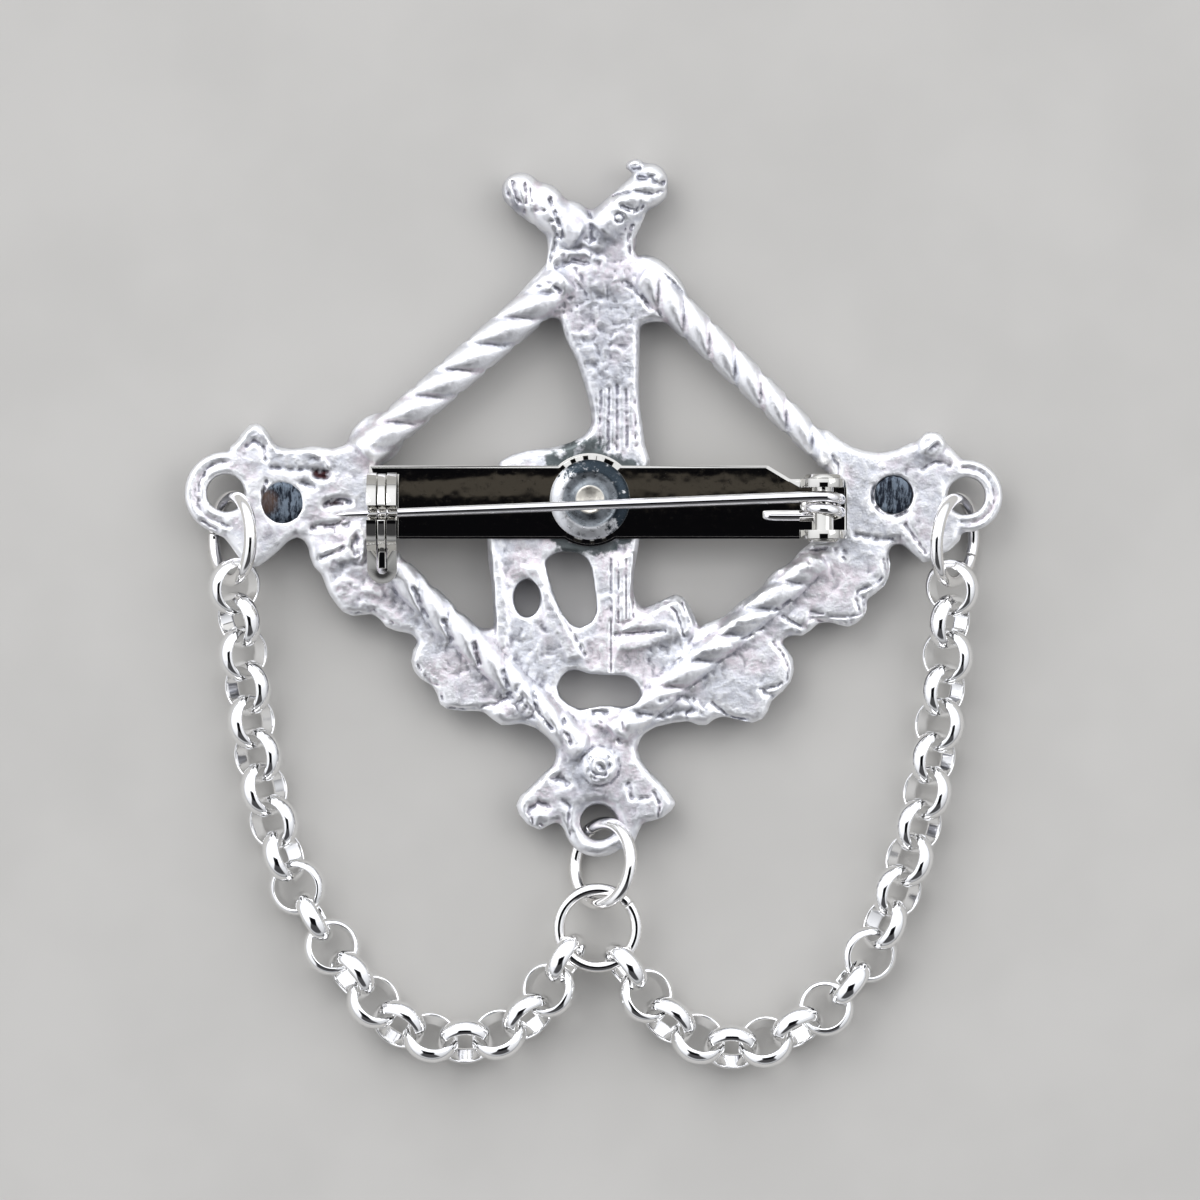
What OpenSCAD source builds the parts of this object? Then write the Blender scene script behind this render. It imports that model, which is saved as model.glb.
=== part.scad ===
// Chained lapel brooch, drawn from its pinned back.
// +Z faces the viewer of the back, +X is to the right, +Y is up to the horned finial.
// Points of the casting are written in drawing units, 816 of them across the brooch.

/* [Overall] */
// Width over the two chain lugs, mm
brooch_width = 65.28; // [56:0.5:76]

/* [Casting] */
// Depth of the plain front body below the plates, mm
front_depth = 1.4; // [1.2:0.1:2.2]
// Thickness of the wing, stem and panel plates, mm
plate_depth = 1.7; // [1.5:0.1:2.1]
// Height of the raised ribs on the pierced panel, mm
rib_height = 0.22; // [0.1:0.02:0.4]
// Radius of the upper rope arms, mm
arm_radius = 1.56; // [1.3:0.05:1.7]
// Radius of the lower rope borders, mm
border_radius = 1.32; // [1.1:0.05:1.4]
// Radius of the two rope horns, mm
horn_radius = 1.6; // [1.3:0.05:1.75]
// Radius of the eyes of the two chain lugs, mm
eye_radius = 1.5; // [1.45:0.05:1.6]
// Outer radius of the left chain lug, mm
left_lug_radius = 3.3; // [3.1:0.05:3.4]
// Outer radius of the right chain lug, mm
right_lug_radius = 2.9; // [2.8:0.05:3.1]
// Thickness of the chain lugs, mm
lug_depth = 1.2; // [1:0.05:1.25]
// Radius of the eye of the bottom hook, mm
hook_eye = 1.4; // [1.35:0.05:1.5]
// Wire diameter of the bottom hook, mm
hook_wire = 1.4; // [1.2:0.05:1.5]
// Radius of the two set pins in the wings, mm
set_pin_radius = 1.5; // [1.2:0.05:1.6]

/* [Pin bar] */
// Length of the pin bar, mm
bar_length = 38.1; // [37:0.1:40]
// Width of the pin bar, mm
bar_width = 5.84; // [5.2:0.1:6.2]
// Thickness of the pin bar strip, mm
bar_depth = 0.75; // [0.6:0.05:1]
// Radius of the round middle of the bar, mm
bulge_radius = 3.72; // [3.4:0.05:4.2]
// Radius of the rivet head on the bar, mm
rivet_head_radius = 3.2; // [2.8:0.05:3.4]
// Radius of the rivet shank through the bar, mm
shank_radius = 1.12; // [0.9:0.05:1.4]
// Radius of the pin wire at the hinge, mm
wire_radius = 0.46; // [0.38:0.02:0.5]
// Radius of the hinge shaft, mm
shaft_radius = 0.8; // [0.6:0.05:0.95]
// Radius of the hinge ears, mm
ear_radius = 1.84; // [1.6:0.05:2]
// Thickness of the hinge ears, mm
hinge_ear_depth = 0.68; // [0.5:0.05:0.9]
// Outer radius of the catch, mm
catch_radius = 3.2; // [3:0.1:3.5]
// Thickness of the catch walls, mm
catch_wall = 0.76; // [0.6:0.05:0.9]
// Thickness of the catch rotor, mm
rotor_depth = 0.64; // [0.5:0.05:0.9]

/* [Rings and chain] */
// Outer diameter of the lug rings, mm
lug_ring_diameter = 7.7; // [7.5:0.1:7.9]
// Outer diameter of the upper drop ring, mm
upper_ring_diameter = 7.5; // [7.4:0.05:7.7]
// Outer diameter of the lower drop ring, mm
lower_ring_diameter = 7.2; // [7.1:0.05:7.4]
// Wire diameter of the lug rings and the upper drop ring, mm
ring_wire = 1.04; // [0.9:0.02:1.12]
// Wire diameter of the lower drop ring, mm
lower_ring_wire = 0.98; // [0.86:0.02:1.02]
// Outer diameter of a chain link, mm
link_diameter = 4.6; // [4.5:0.02:4.7]
// Spacing of the chain links, mm
link_pitch = 2.76; // [2.7:0.02:2.84]
// Radial thickness of the chain link wire, mm
link_thick = 0.54; // [0.46:0.02:0.6]
// Width of the chain link wire along its axis, mm
link_wide = 1.42; // [1.3:0.02:1.5]

/* [Hidden] */
$fn = 48;

// One drawing unit in mm
unit = brooch_width / 816;
// Clearance between seated pieces, mm
seat = 0.04;
// Slant of the rope lays from the rope line, degrees
lay_slant = 42;
// Share of the rope radius taken by its core and by one lay
lay_core = 0.88;
lay_fat = 0.72;
// Heights of the stacked levels, mm
plate_base = front_depth;
plate_top = plate_base + plate_depth;
hook_mid = plate_base + plate_depth / 2;
lug_mid = plate_top - lug_depth / 2;
bar_base = plate_top + seat;
bar_top = bar_base + bar_depth;
// Height of the cuts that go right through the casting
through = 3 * plate_top;

function at(p) = [(p[0] - 597) * unit, (500 - p[1]) * unit];
function place(p, z) = [(p[0] - 597) * unit, (500 - p[1]) * unit, z];
function unitv(v) = v / norm(v);

// Outlines of the casting, in drawing units
LEFT_WING = [[378, 418], [366, 430], [355, 438], [345, 445], [333, 449], [322, 447], [312, 446],
    [302, 448], [292, 449], [279, 447], [272, 442], [269, 434], [264, 427], [257, 423], [250, 425],
    [243, 432], [237, 441], [230, 447], [226, 493], [217, 535], [224, 537], [231, 546], [240, 559],
    [249, 566], [258, 567], [268, 560], [280, 550], [289, 541], [297, 537], [304, 540], [308, 547],
    [310, 557], [314, 567], [322, 575], [325, 584], [329, 594], [336, 604], [343, 612], [353, 616],
    [363, 615], [373, 614], [380, 619], [386, 627], [396, 631], [412, 634], [418, 641], [413, 650],
    [411, 661], [414, 671], [421, 679], [433, 686], [437, 694], [440, 704], [447, 709], [462, 711],
    [473, 711], [483, 711], [492, 719], [501, 725], [511, 725], [521, 723], [536, 728], [548, 738],
    [560, 752], [590, 752], [590, 735], [560, 690], [520, 655], [493, 629], [485, 629], [477, 627],
    [469, 621], [459, 614], [450, 605], [440, 595], [425, 583], [405, 567], [398, 552], [390, 520],
    [382, 490], [378, 466], [392, 448], [392, 430]];
RIGHT_WING = [[812, 430], [828, 430], [840, 440], [852, 447], [866, 451], [880, 453], [895, 450],
    [910, 443], [922, 440], [927, 433], [934, 433], [943, 440], [953, 450], [962, 460], [966, 497],
    [960, 540], [950, 550], [938, 556], [930, 561], [923, 563], [912, 553], [901, 543], [893, 544],
    [888, 552], [890, 564], [889, 576], [884, 586], [875, 594], [866, 600], [867, 608], [864, 616],
    [857, 623], [848, 627], [839, 625], [831, 622], [819, 622], [811, 630], [802, 636], [790, 635],
    [780, 641], [788, 650], [793, 659], [794, 670], [791, 681], [783, 691], [771, 701], [768, 711],
    [762, 719], [752, 723], [740, 720], [723, 716], [714, 719], [707, 725], [698, 725], [688, 721],
    [672, 723], [655, 727], [645, 733], [634, 746], [626, 752], [604, 752], [604, 735], [640, 690],
    [690, 640], [704, 624], [725, 616], [740, 602], [762, 588], [767, 579], [776, 570], [790, 563],
    [800, 551], [812, 541], [830, 540], [838, 520], [836, 485], [826, 468], [812, 452]];
STEM_PANEL = [[556, 306], [566, 340], [577, 362], [585, 387], [591, 410], [592, 424], [585, 435],
    [570, 443], [550, 448], [530, 450], [513, 454], [500, 461], [493, 480], [488, 510], [487, 540],
    [488, 560], [491, 580], [493, 600], [494, 627], [514, 665], [556, 705], [584, 745], [616, 745],
    [645, 700], [686, 655], [698, 624], [690, 606], [683, 597], [675, 594], [658, 602], [643, 609],
    [636, 602], [633, 590], [634, 572], [638, 550], [640, 538], [646, 500], [650, 460], [645, 445],
    [643, 428], [640, 408], [639, 380], [640, 350], [640, 306]];
NECK = [[552, 226], [547, 236], [548, 250], [546, 264], [532, 279], [517, 296], [536, 314],
    [549, 317], [562, 318], [600, 330], [638, 326], [650, 322], [664, 322], [680, 306], [668, 290],
    [655, 275], [641, 262], [633, 250], [634, 240], [640, 228], [646, 214], [630, 206], [612, 205],
    [598, 211], [585, 210], [568, 210]];
FOOT = [[550, 728], [556, 742], [556, 756], [553, 765], [545, 772], [532, 785], [520, 796],
    [516, 805], [519, 814], [527, 824], [540, 830], [549, 825], [558, 821], [566, 832], [600, 836],
    [626, 850], [633, 846], [638, 833], [643, 822], [652, 821], [663, 817], [671, 811], [676, 803],
    [670, 793], [660, 781], [648, 770], [641, 760], [637, 748], [644, 730], [600, 716]];

// Pierced windows of the panel, in drawing units
WINDOW_STRUT = [[545, 561], [551, 555], [558, 552], [568, 551], [580, 553], [588, 559], [592, 569],
    [594, 582], [596, 598], [597, 612], [592, 622], [580, 628], [570, 624], [562, 613], [555, 597],
    [549, 579]];
WINDOW_LOW = [[557, 687], [561, 677], [568, 670], [575, 669], [590, 674], [610, 675], [625, 675],
    [634, 680], [640, 688], [641, 696], [636, 704], [625, 708], [612, 706], [600, 706], [590, 708],
    [580, 710], [568, 704], [560, 697]];
WINDOW_OVAL = [for (i = [0 : 19]) [527 + 13.5 * cos(i * 18), 598 + 19.5 * sin(i * 18)]];

// Raised ribs of the panel, in drawing units
RIB_LEG = [[492, 552], [499, 556], [509, 624], [505, 648], [498, 640]];
RIB_STRUT = [[522, 566], [536, 566], [556, 604], [574, 636], [582, 656], [570, 658], [548, 622],
    [540, 590]];
RIB_POST = [[612, 566], [634, 552], [630, 592], [632, 618], [616, 622]];
RIB_ARM = [[640, 618], [658, 610], [676, 602], [684, 606], [692, 622], [690, 632], [664, 640],
    [640, 648], [618, 650], [618, 643], [660, 634], [660, 626], [622, 630]];
LEFT_CURL = [[322, 552], [330, 548], [345, 546], [352, 536], [358, 526], [364, 532], [366, 546],
    [360, 558], [340, 562]];

// Signed area, used to find which way an outline runs
function area2(points) = let(n = len(points))
    [for (i = 0, s = 0; i <= n; i = i + 1,
        s = s + (i <= n ? points[(i - 1) % n][0] * points[i % n][1]
            - points[i % n][0] * points[(i - 1) % n][1] : 0)) s][n];

// An outline drawn in by a distance, corner by corner
function drawn_in(points, d) = let(n = len(points), way = area2(points) > 0 ? 1 : -1)
    [for (i = [0 : n - 1])
        let(e1 = unitv(points[i] - points[(i + n - 1) % n]), e2 = unitv(points[(i + 1) % n] - points[i]),
            m = unitv(e1 + e2 + [0.0001, 0]), c = max(0.6, m * e1))
        points[i] + way * d / c * [-m[1], m[0]]];

module slab(points, z, h, inset = 0) {
    outline = [for (p = points) at(p)];
    translate([0, 0, z])
        linear_extrude(height = h)
            polygon(inset == 0 ? outline : drawn_in(outline, inset));
}

// A plate with its edges eased at the back, standing on a plain set-in front body
module plate(points, top = 0) {
    ease = 0.3;
    slab(points, plate_base, plate_depth - ease);
    slab(points, plate_base, plate_depth + top, ease);
    slab(points, 0, front_depth + 0.1, 0.55);
}

// A round-ended finger that makes one lay of the rope
module lay(r, half) {
    rotate([90, 0, 0])
        rotate_extrude($fn = 32)
            intersection() {
                union() {
                    translate([0, half])
                        circle(r = r);
                    translate([0, -half])
                        circle(r = r);
                    translate([0, -half])
                        square([r, 2 * half]);
                }
                translate([0, -half - r])
                    square([r + 1, 2 * (half + r)]);
            }
}

// A twisted rope between two drawing points: slanting lays trimmed to a round outside, on a core
module rope(a, b, r0, r1, z, count) {
    pa = at(a);
    pb = at(b);
    long = norm(pb - pa);
    way = atan2(pb[1] - pa[1], pb[0] - pa[0]);
    translate([pa[0], pa[1], z])
        rotate([0, 0, way]) {
            rotate([0, 90, 0])
                cylinder(r1 = lay_core * r0, r2 = lay_core * r1, h = long);
            sphere(r = 0.94 * lay_core * r0);
            translate([long, 0, 0])
                sphere(r = 0.94 * lay_core * r1);
            intersection() {
                translate([-0.6, 0, 0])
                    rotate([0, 90, 0])
                        cylinder(r1 = r0, r2 = r1, h = long + 1.2);
                union()
                    for (i = [0 : count - 1]) {
                        t = i / (count - 1);
                        r = r0 + (r1 - r0) * t;
                        translate([long * t, 0, r * (1.05 - lay_fat)])
                            rotate([0, 0, -lay_slant - 90])
                                lay(r * lay_fat, r * 1.2);
                    }
            }
        }
}

// A round lug with eased edges and a groove between its rim and its eye
module lug(p, outer) {
    translate(place(p, 0))
        difference() {
            rotate_extrude()
                polygon([[0, plate_top - lug_depth], [outer - 0.3, plate_top - lug_depth],
                    [outer, plate_top - lug_depth + 0.3], [outer, plate_top - 0.3],
                    [outer - 0.3, plate_top], [0, plate_top]]);
            translate([0, 0, plate_top])
                rotate_extrude()
                    translate([(outer + eye_radius) / 2, 0])
                        circle(r = 0.26);
        }
}

// The opening of a lug: an eye eased at both faces, over a hollow cut up from the front
module eye_cut(p, outer) {
    low = plate_top - lug_depth;
    translate(place(p, 0))
        rotate_extrude()
            polygon([[0, -1], [outer + 0.4, -1], [outer + 0.4, low], [eye_radius + 0.35, low],
                [eye_radius, low + 0.35], [eye_radius, plate_top - 0.25],
                [eye_radius + 0.25, plate_top], [eye_radius + 0.25, plate_top + 3],
                [0, plate_top + 3]]);
}

// Chosen places on the casting, in drawing units
LEFT_EYE = [226, 493];
RIGHT_EYE = [966, 496];
HOOK_EYE = [598, 822];
LEFT_RIVET = [283, 503];
RIGHT_RIVET = [893, 495];
CENTRE = [590, 500];
NUB = [599, 765];
DOT = [931, 446];
PITS = [[322, 474], [334, 503], [322, 526], [345, 520]];
// Depth at which the blind holes of the pins begin, mm
blind = 0.5;

module pin_hole(p, r) {
    translate(place(p, blind))
        cylinder(r = r + seat, h = through);
}

module brooch_casting() {
    rope_z = plate_top - arm_radius * 0.46;
    border_z = plate_top - border_radius * 0.34;
    rib_base = plate_top - 0.1;
    hook_radius = hook_eye + hook_wire / 2;
    color("silver")
    difference() {
        union() {
            plate(LEFT_WING);
            plate(RIGHT_WING);
            plate(STEM_PANEL);
            plate(NECK);
            difference() {
                plate(FOOT);
                translate(place(HOOK_EYE, -1))
                    cylinder(r = hook_radius, h = through);
            }
            lug(LEFT_EYE, left_lug_radius);
            lug(RIGHT_EYE, right_lug_radius);
            translate(place(HOOK_EYE, hook_mid))
                rotate_extrude()
                    translate([hook_radius, 0])
                        circle(d = hook_wire, $fn = 32);
            rope([560, 284], [369, 449], arm_radius, arm_radius * 0.95, rope_z, 8);
            rope([648, 281], [826, 454], arm_radius * 0.96, arm_radius * 0.72, rope_z, 8);
            rope([390, 566], [578, 744], border_radius, border_radius, border_z, 8);
            rope([620, 728], [814, 564], border_radius * 0.98, border_radius * 0.9, border_z, 8);
            rope([521, 193], [574, 232], horn_radius * 0.92, horn_radius, rope_z, 3);
            rope([650, 184], [604, 226], horn_radius * 0.9, horn_radius * 0.96, rope_z, 3);
            slab(RIB_LEG, rib_base, rib_height + 0.1);
            slab(RIB_STRUT, rib_base, rib_height + 0.1);
            slab(RIB_POST, rib_base, rib_height + 0.1);
            slab(RIB_ARM, rib_base, rib_height + 0.1);
            slab(LEFT_CURL, rib_base, rib_height + 0.1);
            translate(place(DOT, rib_base))
                cylinder(r1 = 1.2, r2 = 0.88, h = rib_height + 0.2);
            translate(place(NUB, rib_base)) {
                difference() {
                    cylinder(r = 1.36, h = rib_height + 0.15);
                    cylinder(r = 1.04, h = 3);
                }
                cylinder(r1 = 0.85, r2 = 0.56, h = rib_height + 0.62);
            }
        }
        eye_cut(LEFT_EYE, left_lug_radius);
        eye_cut(RIGHT_EYE, right_lug_radius);
        pin_hole(LEFT_RIVET, set_pin_radius);
        pin_hole(RIGHT_RIVET, set_pin_radius);
        pin_hole(CENTRE, shank_radius);
        translate(place(NUB, plate_top + rib_height + 0.56))
            sphere(r = 0.26);
        slab(WINDOW_STRUT, -1, through);
        slab(WINDOW_LOW, -1, through);
        slab(WINDOW_OVAL, -1, through);
        for (p = PITS)
            translate(place(p, plate_top + 0.15))
                sphere(r = 0.44, $fn = 24);
    }
}

// A plain pin set in the casting, eased at its outer end
module set_pin(p, r, rise) {
    long = plate_top + rise - 0.25 - blind - seat;
    translate(place(p, blind + seat)) {
        cylinder(r = r, h = long);
        translate([0, 0, long])
            cylinder(r1 = r, r2 = r * 0.86, h = 0.25);
    }
}

module left_rivet() {
    color("slategray")
        set_pin(LEFT_RIVET, set_pin_radius, 0.12);
}

module right_rivet() {
    color("slategray")
        set_pin(RIGHT_RIVET, set_pin_radius, 0.06);
}

// Places along the bar, measured from its left end
bar_start = -18.16;
bar_end = bar_start + bar_length;
bar_mid = -0.2;
hinge_x = bar_end - ear_radius - 0.1;
hinge_y = 0.24;
catch_x = bar_start + catch_wall + rotor_depth / 2 + 0.04;
// Heights of the hinge line and of the pin line
pin_slope = atan2(-18.6, 484);
coil_radius = shaft_radius + wire_radius + 0.1;
hinge_z = bar_top + coil_radius + wire_radius + 0.12;
pin_z = hinge_z + coil_radius;
coil_pitch = 2 * wire_radius + 0.1;
catch_y = hinge_y + (catch_x - hinge_x) * tan(-pin_slope);
rotor_radius = min(catch_radius - 0.08, pin_z - bar_top - 0.1);
rotor_gap = 0.1;
tip_radius = wire_radius * 0.76;
pin_slot = 2 * tip_radius + 0.44;
// Reach of the catch housing below its round, mm
catch_heel = 2.4;
// Length of the point past the middle of the catch, and of the tail past the coil, mm
pin_over = 3.66;
pin_tail = 4.8;
// Inner faces of the two hinge ears
ear_up = 1.64;
ear_down = -3.12;

// Flat strip of the bar with eased long edges
module bar_strip(inset, z, h) {
    half = bar_width / 2 - inset;
    x0 = bar_start + inset;
    x1 = bar_end - inset;
    translate([0, 0, z])
        linear_extrude(height = h)
            difference() {
                union() {
                    polygon([[x0, bar_mid - half], [x1 - 6.3, bar_mid - half],
                        [x1 - 4.5, ear_down + inset], [x1, ear_down + inset],
                        [x1, ear_up - inset], [x1 - 4.5, ear_up - inset],
                        [x1 - 6.3, bar_mid + half], [x0, bar_mid + half]]);
                    translate(at(CENTRE))
                        circle(r = bulge_radius - inset);
                }
                translate(at(CENTRE))
                    circle(r = shank_radius + seat);
            }
}

// A rounded ear that stands on the bar and holds the hinge shaft
module hinge_ear(y) {
    translate([hinge_x, y, 0])
        rotate([-90, 0, 0])
            linear_extrude(height = hinge_ear_depth)
                difference() {
                    union() {
                        translate([0, -hinge_z])
                            circle(r = ear_radius);
                        translate([-ear_radius, -hinge_z])
                            square([2 * ear_radius, hinge_z - bar_base - 0.1]);
                    }
                    translate([0, -hinge_z])
                        circle(r = shaft_radius + seat);
                }
}

// The bar with its two hinge ears and the bent catch housing, all one piece
module pin_bar() {
    inner = rotor_depth / 2 + rotor_gap;
    bend = inner + catch_wall;
    heel = catch_radius + catch_heel;
    low = catch_y - heel;
    floor_z = bar_base + 0.1 - pin_z;
    step_z = bar_top - pin_z + 0.06;
    color("dimgray")
    union() {
        bar_strip(0, bar_base, bar_depth - 0.18);
        bar_strip(0.18, bar_base, bar_depth);
        hinge_ear(ear_up - hinge_ear_depth);
        hinge_ear(ear_down);
        intersection() {
            translate([catch_x, 0, bar_base + 0.1])
                linear_extrude(height = 12)
                    difference() {
                        union() {
                            translate([0, low + bend])
                                circle(r = bend);
                            translate([-bend, low + bend])
                                square([2 * bend, catch_radius + heel - bend]);
                        }
                        translate([0, low + bend])
                            circle(r = inner);
                        translate([-inner, low + bend])
                            square([2 * inner, 4 * heel]);
                    }
            translate([catch_x - 5, catch_y, pin_z])
                rotate([90, 0, 90])
                    linear_extrude(height = 10)
                        difference() {
                            union() {
                                circle(r = catch_radius);
                                polygon([[-catch_radius * 0.6, step_z], [-heel - 0.1, step_z],
                                    [-heel - 0.1, -0.9], [-catch_radius * 0.85, 1.3]]);
                                translate([-catch_radius * 0.62, floor_z])
                                    square([catch_radius * 1.24, 2]);
                            }
                            circle(d = pin_slot);
                            translate([-pin_slot / 2, 0])
                                square([pin_slot, catch_radius + 1]);
                        }
        }
    }
}

// Domed head with a ring groove and a dimple, on a plain shank
module bar_rivet() {
    r = rivet_head_radius;
    color("lightgray")
        translate(place(CENTRE, 0)) {
            translate([0, 0, bar_top + seat])
                rotate_extrude($fn = 64)
                    polygon([[0, 0], [r, 0], [r, 0.22], [0.95 * r, 0.4], [0.75 * r, 0.62],
                        [0.67 * r, 0.66], [0.62 * r, 0.56], [0.45 * r, 0.6], [0.35 * r, 0.78],
                        [0.31 * r, 0.78], [0.22 * r, 0.5], [0, 0.42]]);
            translate([0, 0, blind + seat])
                cylinder(r = shank_radius, h = bar_top + 0.1 - blind);
        }
}

// Slotted disc with a thumb tab
module catch_rotor() {
    color("whitesmoke")
        translate([catch_x - rotor_depth / 2, catch_y, pin_z])
            rotate([90, 0, 90])
                linear_extrude(height = rotor_depth)
                    difference() {
                        union() {
                            circle(r = rotor_radius);
                            translate([-rotor_radius - 1.28, -0.55])
                                square([rotor_radius, 1.1]);
                        }
                        circle(d = pin_slot);
                        translate([-pin_slot / 2, 0])
                            square([pin_slot, rotor_radius + 1]);
                    }
}

// Shaft through both hinge ears with a low head at each end
module hinge_rivet() {
    color("lightgray")
        translate([hinge_x, 0, hinge_z])
            rotate([-90, 0, 0]) {
                translate([0, 0, ear_down - 0.1])
                    cylinder(r = shaft_radius, h = ear_up - ear_down + 0.2);
                translate([0, 0, ear_up + seat])
                    cylinder(r1 = ear_radius - 0.24, r2 = ear_radius - 0.48, h = 0.32);
                translate([0, 0, ear_down - seat - 0.24])
                    cylinder(r1 = ear_radius - 0.64, r2 = ear_radius - 0.48, h = 0.24);
            }
}

// Line of the pin wire: point, straight stem, coil round the shaft, short tail
tip_x = catch_x - pin_over;
function stem_at(x) = [x, hinge_y + (x - hinge_x) * tan(-pin_slope), pin_z];
coil_steps = 30;
coil_sweep = 540;
coil_down = coil_pitch * coil_sweep / 360;
PIN_LINE = concat(
    [for (x = [tip_x, tip_x + 0.5, tip_x + 1.4, catch_x + 2, 0, hinge_x - 1.2]) stem_at(x)],
    [for (i = [0 : coil_steps])
        let(t = coil_sweep * i / coil_steps)
        [hinge_x + coil_radius * sin(t), hinge_y - coil_pitch * t / 360, hinge_z + coil_radius * cos(t)]],
    [for (x = [0.29, 0.67, 1]) [hinge_x - x * pin_tail, hinge_y - coil_down, hinge_z - coil_radius]]);
function pin_radius(i) = lookup(i, [[0, 0.04], [1, 0.19], [2, 0.31], [3, tip_radius],
    [5, wire_radius], [60, wire_radius]]);

module pin_stem() {
    n = len(PIN_LINE);
    m = 10;
    ways = [for (i = [0 : n - 1]) unitv(PIN_LINE[min(i + 1, n - 1)] - PIN_LINE[max(i - 1, 0)])];
    points = [for (i = [0 : n - 1])
        let(side = unitv(cross(ways[i], [0.02, 1, 0])), up = cross(ways[i], side))
        for (k = [0 : m - 1])
            PIN_LINE[i] + pin_radius(i) * (side * cos(360 * k / m) + up * sin(360 * k / m))];
    color("gainsboro")
        polyhedron(points = points, faces = concat(
            [[for (k = [0 : m - 1]) k]],
            [for (i = [0 : n - 2])
                for (k = [0 : m - 1])
                    [i * m + k, (i + 1) * m + k, (i + 1) * m + (k + 1) % m]],
            [for (i = [0 : n - 2])
                for (k = [0 : m - 1])
                    [i * m + k, (i + 1) * m + (k + 1) % m, i * m + (k + 1) % m]],
            [[for (k = [0 : m - 1]) (n - 1) * m + m - 1 - k]]));
}

// A round wire ring, placed by its centre and by its heading, lean and roll
module ring(centre, pose, outer, wire) {
    translate(centre)
        rotate([0, -pose[1], pose[0]])
            rotate([pose[2], 0, 0])
                rotate_extrude($fn = 64)
                    translate([outer / 2 - wire / 2, 0])
                        circle(d = wire, $fn = 24);
}

// Centre of a ring whose wire hangs a small way below the middle of an eye
function hung(eye, z, pose, drop, outer, wire) = let(r = outer / 2 - wire / 2, d = drop + r * cos(pose[1]))
    place(eye, z) + [d * cos(pose[0]), d * sin(pose[0]), r * sin(pose[1])];

LEFT_POSE = [-81, 17, 60];
RIGHT_POSE = [-105, 17, -60];
UPPER_POSE = [-90, 9, 46.5];
LOWER_POSE = [-90, -4.2, -2.8];
eye_drop = 0.5;
upper_centre = place(HOOK_EYE, hook_mid) + [0.38, -0.05 - (upper_ring_diameter - ring_wire) / 2, 0.65];
lower_centre = upper_centre + [-0.4, 1.18 - (upper_ring_diameter + lower_ring_diameter - ring_wire
    - lower_ring_wire) / 2, 0.05];

module left_lug_ring() {
    color("silver")
        ring(hung(LEFT_EYE, lug_mid, LEFT_POSE, eye_drop, lug_ring_diameter, ring_wire),
            LEFT_POSE, lug_ring_diameter, ring_wire);
}

module right_lug_ring() {
    color("silver")
        ring(hung(RIGHT_EYE, lug_mid, RIGHT_POSE, eye_drop, lug_ring_diameter, ring_wire),
            RIGHT_POSE, lug_ring_diameter, ring_wire);
}

module upper_drop_ring() {
    color("silver")
        ring(upper_centre, UPPER_POSE, upper_ring_diameter, ring_wire);
}

module lower_drop_ring() {
    color("silver")
        ring(lower_centre, LOWER_POSE, lower_ring_diameter, lower_ring_wire);
}

// Chosen points of the two chain routes, each with its height in mm
LEFT_ROUTE = [[245, 663, 2.6], [254, 735, 2.36], [268, 802, 2.36], [289, 868, 2.36],
    [319, 926, 2.36], [356, 979, 2.36], [403, 1026, 2.36], [468, 1041, 2.36], [527, 1017, 2.54]];
RIGHT_ROUTE = [[946, 664, 2.6], [937, 735, 2.36], [923, 808, 2.36], [904, 873, 2.36],
    [878, 937, 2.36], [845, 988, 2.36], [797, 1027, 2.36], [733, 1047, 2.36], [672, 1022, 2.54]];
// Roll of the even links along each chain, by share of its length, degrees
LEFT_ROLL = [[0, -35], [0.15, -45], [0.35, -50], [0.5, -88], [0.62, -122], [0.7, -132], [0.85, -132], [1, -106]];
RIGHT_ROLL = [[0, 32], [0.15, 40], [0.45, 48], [0.6, 84], [0.7, 118], [0.78, 132], [0.88, 130], [1, 105.5]];

// Middle of a first link, set off from the wire where its lug ring hangs lowest
function first_link(eye, pose, off) = let(r = (lug_ring_diameter - ring_wire) / 2)
    hung(eye, lug_mid, pose, eye_drop, lug_ring_diameter, ring_wire)
        + r * [cos(pose[1]) * cos(pose[0]), cos(pose[1]) * sin(pose[0]), sin(pose[1])] + off;
// Middle of a last link, just outside the wire of the lower drop ring
function last_link(heading, beyond, rise) = let(r = (lower_ring_diameter - lower_ring_wire) / 2 + beyond)
    lower_centre + [r * cos(heading), r * sin(heading), rise];
function route_line(route, first, last) = concat([first], [for (p = route) place([p[0], p[1]], p[2])], [last]);
LEFT_LINE = route_line(LEFT_ROUTE, first_link(LEFT_EYE, LEFT_POSE, [-0.275, -0.706, -0.42]),
    last_link(-135.86, 0.474, -0.1));
RIGHT_LINE = route_line(RIGHT_ROUTE, first_link(RIGHT_EYE, RIGHT_POSE, [0.578, -0.725, -0.747]),
    last_link(-54.18, 0.738, 0.12));

// A smooth curve through the points of a line, and its length so far in small steps
function knot(line, i) = line[max(0, min(len(line) - 1, i))];
function along(route, t) = let(k = min(floor(t), len(route) - 2), f = t - k,
        a = knot(route, k - 1), b = knot(route, k), c = knot(route, k + 1), d = knot(route, k + 2))
    b + f * (c - a + f * (2 * a - 5 * b + 4 * c - d + f * (3 * (b - c) + d - a))) / 2;
function lengths(route) = [for (i = 0, s = 0; i <= 8 * (len(route) - 1);
    s = s + norm(along(route, (i + 1) / 8) - along(route, i / 8)), i = i + 1) [s, i / 8]];
// Centres of the links, an odd number of them evenly spaced along the curve
function centres(route) = let(table = lengths(route), whole = table[len(table) - 1][0],
        last = 2 * round(whole / link_pitch / 2))
    [for (i = [0 : last]) along(route, lookup(whole * i / last, table))];

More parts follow.
